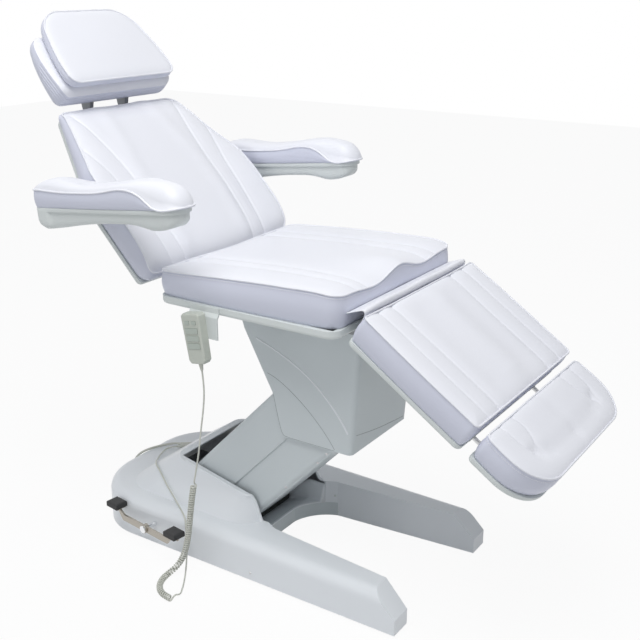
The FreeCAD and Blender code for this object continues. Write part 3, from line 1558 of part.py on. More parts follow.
def make_coil_tie(centre, low):
    # a strap round the turns at the side away from the bed
    wall = size.tie_wall
    gap = size.soft_gap
    radius = size.mains_diameter / 2
    reach = size.coil_inner + size.coil_step * size.coil_turns + radius + gap
    inner = size.coil_inner - 3 - radius - 3
    y = centre[1]
    height = (low - radius - gap, low + size.coil_step + radius + gap)
    hole = block((centre[0] - 9, centre[0] + 9), (y + inner, y + reach), height)
    strap = block((centre[0] - 5, centre[0] + 5), (y + inner - wall, y + reach + wall),
                  (height[0] - wall, height[1] + wall))
    formed("coil_tie", strap.cut(hole))


def make_control_box():
    deck = size.foot_height + size.rail_height
    rear = size.rail_rear
    near = size.motor_half + 22
    box_form = block((rear, rear + size.motor_length), (near, near + 90), (deck, deck + 51))
    top_edges = [edge for edge in box_form.Edges if edge.BoundBox.ZMin > deck + 1]
    formed("control_box", box_form.makeFillet(6, top_edges))


for build in (make_base_cover, make_arch_panel, make_base_frame, make_levelling_feet, make_pins, make_upper_link,
              make_lower_link, make_actuators, make_column_frame, make_column_skirt, make_seat_tray,
              make_seat_cushion, make_tray_fittings, make_handset, make_backrest, make_headrest, make_armrests,
              make_legrest, make_footrest, make_pedal, make_control_box, make_leads):
    build()
    print(build.__name__)
doc.recompute()
os.makedirs("parts", exist_ok=True)
for item in doc.Objects:
    if "Invalid" in item.State or "Error" in item.State:
        raise ValueError(item.Name + " failed")
for name, item in nodes.items():
    if item.Shape.isNull() or not item.Shape.isValid():
        raise ValueError(name + " is not a valid shape")
    placed = item.Shape.copy()
    placed.translate(vec(size.set_forward, 0, 0))
    placed.exportStep("parts/%s.step" % name)
print(len(nodes), "nodes")
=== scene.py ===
import json
import math

import bmesh
import bpy
import numpy as np
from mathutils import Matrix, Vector
from mathutils.bvhtree import BVHTree


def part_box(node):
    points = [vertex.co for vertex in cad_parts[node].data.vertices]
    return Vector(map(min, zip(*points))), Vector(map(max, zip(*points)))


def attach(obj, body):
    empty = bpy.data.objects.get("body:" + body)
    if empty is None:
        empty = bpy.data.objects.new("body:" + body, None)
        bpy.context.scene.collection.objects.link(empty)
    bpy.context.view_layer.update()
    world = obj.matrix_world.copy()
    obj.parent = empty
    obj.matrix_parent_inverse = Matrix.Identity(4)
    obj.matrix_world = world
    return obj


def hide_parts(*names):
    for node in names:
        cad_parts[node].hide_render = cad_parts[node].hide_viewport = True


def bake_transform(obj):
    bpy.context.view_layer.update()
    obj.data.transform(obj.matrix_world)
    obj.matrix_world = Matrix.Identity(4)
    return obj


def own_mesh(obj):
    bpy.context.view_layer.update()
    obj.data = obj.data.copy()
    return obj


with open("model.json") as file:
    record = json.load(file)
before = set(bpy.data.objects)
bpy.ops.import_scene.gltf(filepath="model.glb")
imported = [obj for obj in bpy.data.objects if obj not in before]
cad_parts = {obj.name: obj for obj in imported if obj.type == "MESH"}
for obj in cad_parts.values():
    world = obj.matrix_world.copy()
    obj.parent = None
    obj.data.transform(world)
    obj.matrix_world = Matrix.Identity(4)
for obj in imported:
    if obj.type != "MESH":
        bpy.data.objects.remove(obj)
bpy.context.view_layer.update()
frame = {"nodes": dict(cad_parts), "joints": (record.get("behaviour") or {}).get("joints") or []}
nodes = frame["nodes"]
joints = {joint["name"]: joint for joint in frame["joints"]}
scene = bpy.context.scene
print("frame loaded:", len(nodes), "nodes")


# Local axes of the rests
setForward = 34  # millimetres: routes are drawn about the lift, and the bed stands a little further forward
restLean = dict(back=47, leg=34, arm=-6)  # degrees from level
armAside = 0.383  # metres from the bed's middle to the middle of an armrest


def restPlace(origin, lean, towardFeet):
    # along the rest, across the bed and out of its face, for a rest that leans from level
    turn = math.radians(lean)
    along = (math.cos(turn), 0, -math.sin(turn)) if towardFeet else (-math.cos(turn), 0, math.sin(turn))
    axes = np.array([along, (0, 1, 0), (math.sin(turn), 0, math.cos(turn))])
    return {"origin": np.array(origin, float), "axes": axes}


def toWorld(place, points):
    return place["origin"] + np.asarray(points, float) * 0.001 @ place["axes"]


def toLocal(place, points):
    return (np.asarray(points, float) - place["origin"]) @ place["axes"].T * 1000


def drawn(points):
    return [Vector((x + setForward, y, z)) * 0.001 for x, y, z in points]


trayLow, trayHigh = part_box("seat_tray")
armPivot = joints["armrest_left_level"]["pos_m"]
backPlace = restPlace(joints["backrest_tilt"]["pos_m"], restLean["back"], False)
legPlace = restPlace(joints["legrest_tilt"]["pos_m"], restLean["leg"], True)
seatPlace = restPlace((trayHigh.x, 0, trayLow.z), 0, True)
leftArmPlace = restPlace((armPivot[0], -armAside, armPivot[2]), restLean["arm"], True)
rightArmPlace = restPlace((armPivot[0], armAside, armPivot[2]), restLean["arm"], True)


# Camera, light and floor
photoView = dict(eye=(1429.1, -2144.4, 1583.3), aim=(9.7, 0, 697.8), lens=56.47)
camera = bpy.data.objects.new("photoCamera", bpy.data.cameras.new("photoCamera"))
scene.collection.objects.link(camera)
camera.data.lens = photoView["lens"]
eye, aim = drawn([photoView["eye"], photoView["aim"]])
camera.location = eye
camera.rotation_euler = (aim - eye).to_track_quat("-Z", "Y").to_euler()
scene.camera = camera
scene.view_settings.view_transform = "Standard"


def areaLight(name, place, target, size, power, colour):
    data = bpy.data.lights.new(name, "AREA")
    data.shape = "DISK"
    data.size = size
    data.energy = power
    data.color = colour
    lamp = bpy.data.objects.new(name, data)
    lamp.location = place
    lamp.rotation_euler = (Vector(target) - Vector(place)).to_track_quat("-Z", "Y").to_euler()
    scene.collection.objects.link(lamp)


areaLight("skyLight", place=(0.6, -1.4, 4.2), target=(0, 0, 0.6), size=3.0, power=108,
          colour=(1, 0.995, 0.985))
areaLight("sideLight", place=(-2.4, -3.6, 1.9), target=(0, 0, 0.5), size=2.4, power=10,
          colour=(0.97, 0.985, 1))


def addNode(tree, kind, settings=None, values=None):
    node = tree.nodes.new(kind)
    for label, value in (settings or {}).items():
        setattr(node, label, value)
    for label, value in (values or {}).items():
        node.inputs[label].default_value = value
    return node


def link(tree, *links):
    # each link is a node and its output, then a node and its input
    for start, output, end, entry in links:
        tree.links.new(start.outputs[output], end.inputs[entry])


def seenShare(tree):
    # gives one where the camera sees the background, straight on or in a shiny or clear surface
    rays = addNode(tree, "ShaderNodeLightPath")
    either = addNode(tree, "ShaderNodeMath", {"operation": "MAXIMUM"})
    anyOf = addNode(tree, "ShaderNodeMath", {"operation": "MAXIMUM"})
    link(tree, (rays, "Is Camera Ray", either, 0), (rays, "Is Glossy Ray", either, 1),
         (either, 0, anyOf, 0), (rays, "Is Transmission Ray", anyOf, 1))
    return anyOf


room = dict(ambient=(0.34, 0.35, 0.37, 1), seen=(1, 1, 1, 1))
world = bpy.data.worlds.new("paleRoom")
scene.world = world
world.use_nodes = True
roomTree = world.node_tree
backdrop = roomTree.nodes["Background"]
roomMix = addNode(roomTree, "ShaderNodeMixRGB", None, {1: room["ambient"], 2: room["seen"]})
link(roomTree, (seenShare(roomTree), 0, roomMix, 0), (roomMix, 0, backdrop, "Color"))


def newMaterial(name):
    material = bpy.data.materials.new(name)
    material.use_nodes = True
    tree = material.node_tree
    return material, tree, tree.nodes["Principled BSDF"]


floorLook = dict(colour=(0.86, 0.86, 0.86, 1), rough=0.9, glow=0.93, reach=9)
floorMaterial, floorTree, floorShader = newMaterial("floorMatt")
floorShader.inputs["Base Color"].default_value = floorLook["colour"]
floorShader.inputs["Roughness"].default_value = floorLook["rough"]
floorGlow = addNode(floorTree, "ShaderNodeEmission")
floorShare = addNode(floorTree, "ShaderNodeMath", {"operation": "MULTIPLY"}, {1: floorLook["glow"]})
floorMix = addNode(floorTree, "ShaderNodeMixShader")
link(floorTree, (seenShare(floorTree), 0, floorShare, 0), (floorShare, 0, floorMix, 0),
     (floorShader, 0, floorMix, 1), (floorGlow, 0, floorMix, 2),
     (floorMix, 0, floorTree.nodes["Material Output"], "Surface"))
far = floorLook["reach"]
floorMesh = bpy.data.meshes.new("floor")
floorMesh.from_pydata([(-far, -far, 0), (far, -far, 0), (far, far, 0), (-far, far, 0)], [], [(0, 1, 2, 3)])
floorMesh.materials.append(floorMaterial)
floor = bpy.data.objects.new("floor", floorMesh)
scene.collection.objects.link(floor)
print("camera, light and floor set")


# Shared shader effects
def nodeTree(name, kind, inputs, outputs):
    tree = bpy.data.node_groups.new(name, kind)
    for way, sockets in (("INPUT", inputs), ("OUTPUT", outputs)):
        for label, sort in sockets.items():
            tree.interface.new_socket(label, in_out=way, socket_type="NodeSocket" + sort)
    return tree, addNode(tree, "NodeGroupInput"), addNode(tree, "NodeGroupOutput")


def buildHideGroup():
    # pebbled leatherette: small cells, broader creases and a slow change of tone
    inputs = {"Place": "Vector", "Light": "Color", "Shade": "Color"}
    outputs = {"Colour": "Color", "Height": "Float", "Gloss": "Float"}
    tree, entry, out = nodeTree("hideGrain", "ShaderNodeTree", inputs, outputs)
    cells = addNode(tree, "ShaderNodeTexVoronoi", {"feature": "SMOOTH_F1"}, {"Scale": 620})
    creases = addNode(tree, "ShaderNodeTexNoise", None, {"Scale": 190, "Detail": 3})
    tone = addNode(tree, "ShaderNodeTexNoise", None, {"Scale": 3.2, "Detail": 2})
    added = addNode(tree, "ShaderNodeMath", {"operation": "MULTIPLY_ADD"}, {1: 0.45})
    mixed = addNode(tree, "ShaderNodeMixRGB")
    gloss = addNode(tree, "ShaderNodeMapRange", None, {"To Min": 0.36, "To Max": 0.5})
    for texture in (cells, creases, tone):
        link(tree, (entry, "Place", texture, "Vector"))
    link(tree, (creases, "Fac", added, 0), (cells, "Distance", added, 2), (tone, "Fac", mixed, 0),
         (entry, "Light", mixed, 1), (entry, "Shade", mixed, 2), (tone, "Fac", gloss, "Value"),
         (mixed, 0, out, "Colour"), (added, 0, out, "Height"), (gloss, "Result", out, "Gloss"))
    return tree


def buildMouldGroup():
    # moulded or painted skin: a fine orange peel, a slow change of tone and dust low down
    inputs = {"Place": "Vector", "Light": "Color", "Shade": "Color", "Peel": "Float"}
    outputs = {"Colour": "Color", "Height": "Float"}
    tree, entry, out = nodeTree("mouldedSkin", "ShaderNodeTree", inputs, outputs)
    peel = addNode(tree, "ShaderNodeTexNoise", None, {"Detail": 2})
    tone = addNode(tree, "ShaderNodeTexNoise", None, {"Scale": 5, "Detail": 4})
    parts = addNode(tree, "ShaderNodeSeparateXYZ")
    low = addNode(tree, "ShaderNodeMapRange", None, {"From Max": 0.14, "To Min": 0.3, "To Max": 0})
    both = addNode(tree, "ShaderNodeMath", {"operation": "MULTIPLY_ADD", "use_clamp": True}, {1: 0.5})
    mixed = addNode(tree, "ShaderNodeMixRGB")
    link(tree, (entry, "Place", peel, "Vector"), (entry, "Peel", peel, "Scale"),
         (entry, "Place", tone, "Vector"), (entry, "Place", parts, 0), (parts, "Z", low, "Value"),
         (tone, "Fac", both, 0), (low, "Result", both, 2), (both, 0, mixed, 0),
         (entry, "Light", mixed, 1), (entry, "Shade", mixed, 2),
         (mixed, 0, out, "Colour"), (peel, "Fac", out, "Height"))
    return tree


hideGroup = buildHideGroup()
mouldGroup = buildMouldGroup()


def skinMaterial(name, light, shade, group, finish):
    # finish: bump, its depth in metres, and where given roughness, metal share, coat and the peel's scale
    material, tree, shader = newMaterial(name)
    place = addNode(tree, "ShaderNodeTexCoord")
    tones = {"Light": (*light, 1), "Shade": (*shade, 1)}
    skin = addNode(tree, "ShaderNodeGroup", {"node_tree": group}, tones)
    grain = addNode(tree, "ShaderNodeBump", None, {"Strength": finish["bump"], "Distance": finish["depth"]})
    link(tree, (place, "Object", skin, "Place"), (skin, "Colour", shader, "Base Color"),
         (skin, "Height", grain, "Height"), (grain, "Normal", shader, "Normal"))
    shader.inputs["Metallic"].default_value = finish.get("metal", 0)
    shader.inputs["Coat Weight"].default_value = finish.get("coat", 0)
    if group == mouldGroup:
        skin.inputs["Peel"].default_value = finish["peel"]
        shader.inputs["Roughness"].default_value = finish["rough"]
    else:
        link(tree, (skin, "Gloss", shader, "Roughness"))
    return material


def moulded(name, light, shade, **finish):
    return skinMaterial(name, light, shade, mouldGroup, finish)


hide = dict(bump=0.16, depth=0.0006)
leather = skinMaterial("whiteLeatherette", (0.85, 0.86, 0.905), (0.82, 0.832, 0.89), hideGroup, hide)
# the cushion sides are the same white leatherette as the tops; this darker copy is painted shade
shadedBoxingLeather = skinMaterial("boxingLeatheretteShaded", (0.68, 0.7, 0.8), (0.64, 0.66, 0.77), hideGroup, hide)
thread = moulded(
    "whiteThread", (0.84, 0.84, 0.86), (0.75, 0.75, 0.78), bump=0.5, depth=0.0003, rough=0.8, peel=1800)
basePlastic = moulded(
    "basePlastic", (0.82, 0.85, 0.88), (0.77, 0.8, 0.83), bump=0.05, depth=0.0005, rough=0.34, coat=0.15,
    peel=180)
coverPlastic = moulded(
    "coverPlastic", (0.64, 0.69, 0.705), (0.6, 0.65, 0.665), bump=0.08, depth=0.0005, rough=0.42, peel=420)
trimPlastic = moulded(
    "trimPlastic", (0.7, 0.74, 0.73), (0.65, 0.69, 0.68), bump=0.09, depth=0.0005, rough=0.45, peel=500)
framePaint = moulded(
    "framePaint", (0.33, 0.34, 0.35), (0.25, 0.26, 0.27), bump=0.12, depth=0.0006, rough=0.5, peel=330)
bareSteel = moulded(
    "bareSteel", (0.66, 0.66, 0.67), (0.5, 0.5, 0.51), bump=0.1, depth=0.0003, rough=0.32, metal=1, peel=900)
pedalSteel = moulded(
    "pedalSteel", (0.5, 0.47, 0.42), (0.36, 0.33, 0.29), bump=0.18, depth=0.0004, rough=0.4, metal=1,
    peel=700)
chrome = moulded(
    "chrome", (0.86, 0.87, 0.89), (0.8, 0.81, 0.83), bump=0.01, depth=0.0002, rough=0.1, metal=1, peel=60)
blackRubber = moulded(
    "blackRubber", (0.02, 0.02, 0.021), (0.045, 0.045, 0.047), bump=0.25, depth=0.0006, rough=0.62, peel=800)
motorPaint = moulded(
    "motorPaint", (0.4, 0.41, 0.42), (0.33, 0.34, 0.35), bump=0.12, depth=0.0005, rough=0.48, peel=400)
handsetPlastic = moulded(
    "handsetPlastic", (0.56, 0.59, 0.53), (0.5, 0.53, 0.475), bump=0.15, depth=0.0004, rough=0.5, peel=1100)
keyPlastic = moulded(
    "keyPlastic", (0.47, 0.52, 0.47), (0.42, 0.47, 0.42), bump=0.1, depth=0.0003, rough=0.45, peel=1300)
cordJacket = moulded(
    "cordJacket", (0.62, 0.63, 0.57), (0.55, 0.56, 0.5), bump=0.1, depth=0.0002, rough=0.42, peel=1200)
tieNylon = moulded(
    "tieNylon", (0.05, 0.05, 0.05), (0.08, 0.08, 0.08), bump=0.1, depth=0.0002, rough=0.4, peel=900)
gapShadow = moulded(
    "gapShadow", (0.3, 0.33, 0.34), (0.26, 0.29, 0.3), bump=0.02, depth=0.0002, rough=0.7, peel=200)
print("materials made")


# Small tools for shapes
def eased(t):
    return t * t * (3 - 2 * t)


def smoothLine(pairs):
    # a smooth run through a few points, flat beyond its ends
    xs = np.array([pair[0] for pair in pairs], float)
    ys = np.array([pair[1] for pair in pairs], float)
    slopes = np.gradient(ys, xs)

    def at(x):
        x = np.clip(np.asarray(x, float), xs[0], xs[-1])
        k = np.clip(np.searchsorted(xs, x) - 1, 0, len(xs) - 2)
        span = xs[k + 1] - xs[k]
        t = (x - xs[k]) / span
        rise = eased(t)
        start = t * (1 - t) ** 2 * span * slopes[k]
        end = t * t * (t - 1) * span * slopes[k + 1]
        return ys[k] * (1 - rise) + ys[k + 1] * rise + start + end

    return at


def lineDistance(points, line):
    best = np.full(len(points), 1e6)
    for start, end in zip(line[:-1], line[1:]):
        run = end - start
        t = np.clip(((points - start) @ run) / max(run @ run, 1e-9), 0, 1)
        best = np.minimum(best, np.linalg.norm(points - start - t[:, None] * run, axis=1))
    return best


def finerLine(line, rounds=3):
    # a line through a few points, rounded by cutting its corners off a few times over
    line = np.array(line, float)
    for _ in range(rounds):
        here = line[:-1]
        ahead = line[1:]
        cuts = [here * 0.75 + ahead * 0.25, here * 0.25 + ahead * 0.75]
        line = np.concatenate([line[:1], np.stack(cuts, 1).reshape(-1, line.shape[1]), line[-1:]])
    return line


def meshObject(name, points, faces, material, smooth=True):
    mesh = bpy.data.meshes.new(name)
    mesh.from_pydata([tuple(point) for point in points], [], [tuple(face) for face in faces])
    mesh.materials.append(material)
    worked = bmesh.new()
    worked.from_mesh(mesh)
    bmesh.ops.recalc_face_normals(worked, faces=worked.faces)
    worked.to_mesh(mesh)
    worked.free()
    if smooth:
        mesh.shade_smooth()
    piece = bpy.data.objects.new(name, mesh)
    scene.collection.objects.link(piece)
    return piece


def settle(piece):
    # the shape that the modifiers make becomes the piece's own mesh
    depsgraph = bpy.context.evaluated_depsgraph_get()
    shaped = bpy.data.meshes.new_from_object(piece.evaluated_get(depsgraph))
    piece.modifiers.clear()
    old = piece.data
    piece.data = shaped
    bpy.data.meshes.remove(old)


def thickened(piece, wall):
    solid = piece.modifiers.new("wall", "SOLIDIFY")
    solid.thickness = wall
    settle(piece)
    piece.data.shade_smooth()


def meshValues(mesh, label):
    # the places or the normals of a mesh's points
    values = np.zeros(len(mesh.vertices) * 3)
    mesh.vertices.foreach_get(label, values)
    return values.reshape(-1, 3)


def lineLength(line):
    return float(np.linalg.norm(np.diff(line, axis=0), axis=1).sum())


def gridFaces(rows, columns):
    # the faces of a sheet, so many along it and so many across
    low = np.arange((rows + 1) * (columns + 1)).reshape(rows + 1, columns + 1)
    return np.stack([low[:-1, :-1], low[:-1, 1:], low[1:, 1:], low[1:, :-1]], -1).reshape(-1, 4).tolist()


def wallFaces(rings, sides):
    # the walls between rings of points
    low = np.arange(rings * sides).reshape(rings, sides)
    after = np.roll(low, -1, 1)
    return np.stack([low[:-1], after[:-1], after[1:], low[1:]], -1).reshape(-1, 4).tolist()


def endFaces(rings, sides):
    return [tuple(range(sides)), tuple(range((rings - 1) * sides, rings * sides))]


def carried(points, side):
    # two directions across a line at each of its points, carried along it without a twist
    runs = np.gradient(points, axis=0)
    runs /= np.linalg.norm(runs, axis=1)[:, None]
    for point, run in zip(points, runs):
        side = side - run * (side @ run)
        side = side / np.linalg.norm(side)
        yield point, side, np.cross(run, side)


def tube(name, points, radius, sides, material):
    # a round tube along a run of points, with closed ends
    points = np.array(points, float)
    angles = np.arange(sides) * 2 * math.pi / sides
    across = np.cos(angles)[:, None]
    above = np.sin(angles)[:, None]
    start = np.cross(points[1] - points[0], (0.31, 0.52, 0.79))  # any direction that no cord here runs in
    rings = [spot + radius * (across * side + above * up) for spot, side, up in carried(points, start)]
    faces = wallFaces(len(points), sides) + endFaces(len(points), sides)
    return meshObject(name, np.concatenate(rings), faces, material)


# Repeats along lines and on points, made by node trees
def repeatTree(name, inputs):
    return nodeTree(name, "GeometryNodeTree", {"Geometry": "Geometry", **inputs, "Finish": "Material"},
                    {"Geometry": "Geometry"})


def painted(tree, entry, out, made):
    # what the tree makes becomes real and takes its finish
    real = addNode(tree, "GeometryNodeRealizeInstances")
    paint = addNode(tree, "GeometryNodeSetMaterial")
    link(tree, (made, 0, real, 0), (real, 0, paint, "Geometry"), (entry, "Finish", paint, "Material"),
         (paint, 0, out, 0))
    return tree


def buildBeadTree():
    tree, entry, out = repeatTree("beadAlong", {"Radius": "Float"})
    line = addNode(tree, "GeometryNodeMeshToCurve")
    ring = addNode(tree, "GeometryNodeCurvePrimitiveCircle", None, {"Resolution": 10})
    skin = addNode(tree, "GeometryNodeCurveToMesh", None, {"Fill Caps": True})
    link(tree, (entry, "Geometry", line, 0), (entry, "Radius", ring, "Radius"), (line, 0, skin, "Curve"),
         (ring, 0, skin, "Profile Curve"))
    return painted(tree, entry, out, skin)


def buildStitchTree():
    tree, entry, out = repeatTree("stitchesAlong", {"Spacing": "Float", "Size": "Vector"})
    line = addNode(tree, "GeometryNodeMeshToCurve")
    steps = addNode(tree, "GeometryNodeResampleCurve", {"mode": "LENGTH"})
    stitch = addNode(tree, "GeometryNodeMeshIcoSphere", None, {"Radius": 1, "Subdivisions": 2})
    heading = addNode(tree, "GeometryNodeInputTangent")
    turned = addNode(tree, "FunctionNodeAlignRotationToVector", {"axis": "X"})
    placed = addNode(tree, "GeometryNodeInstanceOnPoints")
    link(tree, (entry, "Geometry", line, 0), (line, 0, steps, "Curve"), (entry, "Spacing", steps, "Length"),
         (steps, 0, placed, "Points"), (stitch, 0, placed, "Instance"), (heading, 0, turned, "Vector"),
         (turned, 0, placed, "Rotation"), (entry, "Size", placed, "Scale"))
    return painted(tree, entry, out, placed)


def buildScrewTree():
    tree, entry, out = repeatTree("screwsOn", {"Head": "Object"})
    head = addNode(tree, "GeometryNodeObjectInfo")
    kind = {"data_type": "FLOAT_VECTOR"}
    facing = addNode(tree, "GeometryNodeInputNamedAttribute", kind, {"Name": "facing"})
    turned = addNode(tree, "FunctionNodeAlignRotationToVector", {"axis": "Z"})
    placed = addNode(tree, "GeometryNodeInstanceOnPoints")
    link(tree, (entry, "Geometry", placed, "Points"), (entry, "Head", head, "Object"),
         (head, "Geometry", placed, "Instance"), (facing, "Attribute", turned, "Vector"),
         (turned, 0, placed, "Rotation"))
    return painted(tree, entry, out, placed)


beadTree = buildBeadTree()
stitchTree = buildStitchTree()
screwTree = buildScrewTree()


def grown(name, base, tree, values):
    # runs a node tree on a small mesh and keeps what it makes as the piece's mesh
    piece = bpy.data.objects.new(name, base)
    scene.collection.objects.link(piece)
    modifier = piece.modifiers.new(name, "NODES")
    modifier.node_group = tree
    for item in tree.interface.items_tree:
        if item.name in values:
            modifier[item.identifier] = values[item.name]
    bpy.context.view_layer.update()
    settle(piece)
    piece.data.shade_smooth()
    return piece


def lineMesh(name, points, closed):
    count = len(points)
    edges = [(k, (k + 1) % count) for k in range(count if closed else count - 1)]
    mesh = bpy.data.meshes.new(name)
    mesh.from_pydata([tuple(point) for point in points], edges, [])
    return mesh


def fitted(piece, body, slot, *replaced):
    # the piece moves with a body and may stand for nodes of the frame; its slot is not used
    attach(piece, body)
    if replaced:
        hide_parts(*replaced)


def bead(name, points, radius, material, body, slot, closed=False):
    piece = grown(name, lineMesh(name, points, closed), beadTree, {"Radius": radius, "Finish": material})
    fitted(piece, body, slot)


stitchForm = {"Spacing": 0.0052, "Size": (0.0019, 0.0006, 0.0006), "Finish": thread}


def stitches(name, points, body):
    fitted(grown(name, lineMesh(name, points, True), stitchTree, stitchForm), body, "upholstery")


# Cushions
# a pad has an outline (length, corners, half width), a face, an edge that rises over its roll, and
# a boxing that goes down in levels, with a bulge and a tuck
cornerPoints = 9  # along each rounded corner of an outline


def rowsOf(pad):
    start, end = pad["length"]
    first, last = pad["corners"]
    step = pad["step"]
    angles = np.linspace(0, math.pi / 2, cornerPoints)
    rows = [start + first * (1 - math.cos(angle)) for angle in angles]
    count = max(2, round((end - last - start - first) / step))
    rows += list(np.linspace(start + first, end - last, count + 1)[1:-1])
    rows += [end - last * (1 - math.cos(angle)) for angle in angles[::-1]]
    return np.array(rows)


def halfAt(pad, rows):
    start, end = pad["length"]
    first, last = pad["corners"]
    wide = pad["half"](rows)
    near = np.clip(first - (rows - start), 0, first)
    far = np.clip(last - (end - rows), 0, last)
    return wide - (first - np.sqrt(first ** 2 - near ** 2)) - (last - np.sqrt(last ** 2 - far ** 2))


def bump(value, middle, width):
    return np.exp(-(((value - middle) / width) ** 2))


def swollen(base, swells):
    # a level face with soft rises: each has its height, and its middle and width along and across
    def face(u, v):
        return base + sum(rise * bump(u, *along) * bump(v, *across) for rise, along, across in swells)

    return face


pleatForm = dict(wide=1.8, slant=0.5, fade=12)
seamForm = dict(groove=3, hollow=18)  # widths of a sewn groove and of the cover pulled in beside it
weltForm = dict(radius=0.0024, out=0.6, up=0.4)


def padShape(pad):
    # the sewn top over a grid, the boxing down from its edge, and a flat underside
    rows = rowsOf(pad)
    halves = halfAt(pad, rows)
    columns = 2 * round(halves.max() / pad["step"]) + 1
    along = np.repeat(rows, columns)
    across = (halves[:, None] * np.linspace(-1, 1, columns)[None, :]).reshape(-1)
    grid = np.arange(len(along)).reshape(len(rows), columns)
    rim = [*grid[0], *grid[1:-1, -1], *grid[-1][::-1], *grid[1:-1, 0][::-1]]
    plan = np.stack([along, across], 1)
    outline = plan[rim]
    inside = lineDistance(plan, np.concatenate([outline, outline[:1]]))
    height = pad["face"](along, across) + pad["rise"] * (1 - np.exp(-inside / pad["roll"]))
    if "crown" in pad:
        swell = np.sqrt(1 - (1 - np.clip(inside / pad["roll"], 0, 1)) ** 3)
        height = height + np.clip(pad["crown"](along) - height, 0, None) * swell
    points = [np.column_stack([plan, height])]
    faces = gridFaces(len(rows) - 1, columns - 1)
    topCount = len(faces)
    ahead = np.roll(outline, -1, 0) - np.roll(outline, 1, 0)
    ahead /= np.linalg.norm(ahead, axis=1)[:, None]
    outward = np.column_stack([ahead[:, 1], -ahead[:, 0]])
    if np.sum(outward * (outline - outline.mean(0))) < 0:
        outward = -outward
    edge = height[rim]
    low = np.interp(outline[:, 0], pad["length"], pad["low"])
    previous = rim
    total = len(plan)
    for level in range(1, pad["levels"] + 1):
        share = level / pad["levels"]
        swell = pad["bulge"] * math.sin(math.pi * share) - pad["tuck"] * share ** 4
        fall = (edge - low) * share
        sunk = sum(depth * bump(fall, at, pleatForm["wide"]) for at, depth in pad.get("pleats", []))
        reach = pad.get("pleatEnd", 0) - outline[:, 0] - pleatForm["slant"] * fall
        sunk = sunk * np.clip(reach / pleatForm["fade"], 0, 1)
        points.append(np.column_stack([outline + outward * (swell - sunk)[:, None], edge - fall]))
        current = np.arange(total, total + len(rim))
        faces += zip(previous, np.roll(previous, -1), np.roll(current, -1), current)
        total += len(rim)
        previous = current
    faces.append(tuple(previous))
    welt = np.column_stack([outline + outward * weltForm["out"], edge + weltForm["up"]])
    return np.concatenate(points), faces, topCount, welt, outward


def sewSeams(pad, points, normals):
    # grooves pulled in along the seam lines of the face, the same on both sides of the bed
    facing = np.clip(normals @ pad["place"]["axes"][2], 0, 1) ** 2
    local = toLocal(pad["place"], points)
    sunk = np.zeros(len(points))
    for seam in pad["seams"]:
        line = finerLine(seam["line"])
        for side in (1, -1):
            gap = lineDistance(local[:, :2], line * (1, side))
            sunk += seam["depth"] * bump(gap, 0, seamForm["groove"])
            sunk += seam["soft"] * bump(gap, 0, seamForm["hollow"])
    return points - normals * (sunk * facing)[:, None] * 0.001


def cushion(pad):
    points, faces, topCount, welt, outward = padShape(pad)
    piece = meshObject(pad["name"], toWorld(pad["place"], points), faces, leather)
    mesh = piece.data
    shaped = sewSeams(pad, meshValues(mesh, "co"), meshValues(mesh, "normal"))
    mesh.vertices.foreach_set("co", shaped.reshape(-1))
    mesh.update()
    # the boxing faces take the darker copy of the leatherette as painted shade
    mesh.materials.append(shadedBoxingLeather)
    mesh.polygons.foreach_set("material_index", (np.arange(len(mesh.polygons)) >= topCount).astype(np.int32))
    mesh.shade_smooth()
    fitted(piece, pad["body"], "upholstery", pad["replaces"])
    if pad.get("welt", True):
        bead(pad["name"] + "Welt", toWorld(pad["place"], welt), weltForm["radius"], leather, pad["body"],
             "upholstery", closed=True)
    if "stitchDown" in pad:
        row = welt + np.column_stack([outward * pad["stitchOut"], np.full(len(welt), -pad["stitchDown"])])
        stitches(pad["name"] + "Stitches", toWorld(pad["place"], row), pad["body"])
    print(pad["name"], "vertices", len(mesh.vertices))


seatLow = (trayHigh.z - trayLow.z) * 1000 + 0.3
seatForm = dict(
    edge=smoothLine([(-547, 92), (-450, 98), (-300, 107), (-150, 113), (-40, 113), (0, 107)]), sunk=6,
    front=240, hump=16, humpWide=62, dip=10, dipAside=128, dipWide=70,
    dish=5, dishWide=130, dishEnd=60, dishRun=200,
)


def seatFace(u, v):
    # level at the back, with a hump and two thigh dips at the front edge
    front = np.clip((u + seatForm["front"]) / seatForm["front"], 0, 1) ** 1.5
    hump = seatForm["hump"] * bump(v, 0, seatForm["humpWide"])
    for side in (1, -1):
        hump = hump - seatForm["dip"] * bump(v, side * seatForm["dipAside"], seatForm["dipWide"])
    behind = np.clip((-u - seatForm["dishEnd"]) / seatForm["dishRun"], 0, 1)
    dish = seatForm["dish"] * bump(v, 0, seatForm["dishWide"]) * behind
    return seatForm["edge"](u) - seatForm["sunk"] + front * hump - dish


seatPad = dict(
    name="seatCushionSewn", replaces="seat_cushion", body="column", place=seatPlace, step=3.4,
    length=(-542, -3), corners=(24, 38), levels=12, low=(seatLow, seatLow), bulge=5, tuck=4,
    half=smoothLine([(-547, 300), (-420, 303), (-215, 301), (-75, 297), (0, 292)]),
    face=seatFace, rise=7, roll=16, fill=0.8,
    seams=[
        dict(line=[(-535, 143), (-300, 143), (-120, 146), (-5, 150)], depth=3, soft=3),
        dict(line=[(-535, 196), (-300, 191), (-120, 194), (-5, 200)], depth=3, soft=3),
    ],
    stitchDown=7, stitchOut=2.2,
)

backHalf = smoothLine([(12, 303), (60, 306), (150, 307), (250, 306), (300, 302), (335, 293), (365, 280),
    (415, 262), (493, 237), (552, 216)])
wingHeight = smoothLine([(12, 52), (48, 72), (96, 83), (150, 85), (250, 84), (300, 79), (350, 70),
    (415, 60), (493, 51), (532, 41), (549, 29)])
backCrown = smoothLine([(14, 46), (60, 56), (150, 63), (300, 64), (420, 58), (500, 50), (532, 41),
    (549, 29)])
backForm = dict(wing=0.62, wingCurve=1.6, ridge=4, ridgeAside=0.42, ridgeWide=30, ridgeStart=(20, 40))


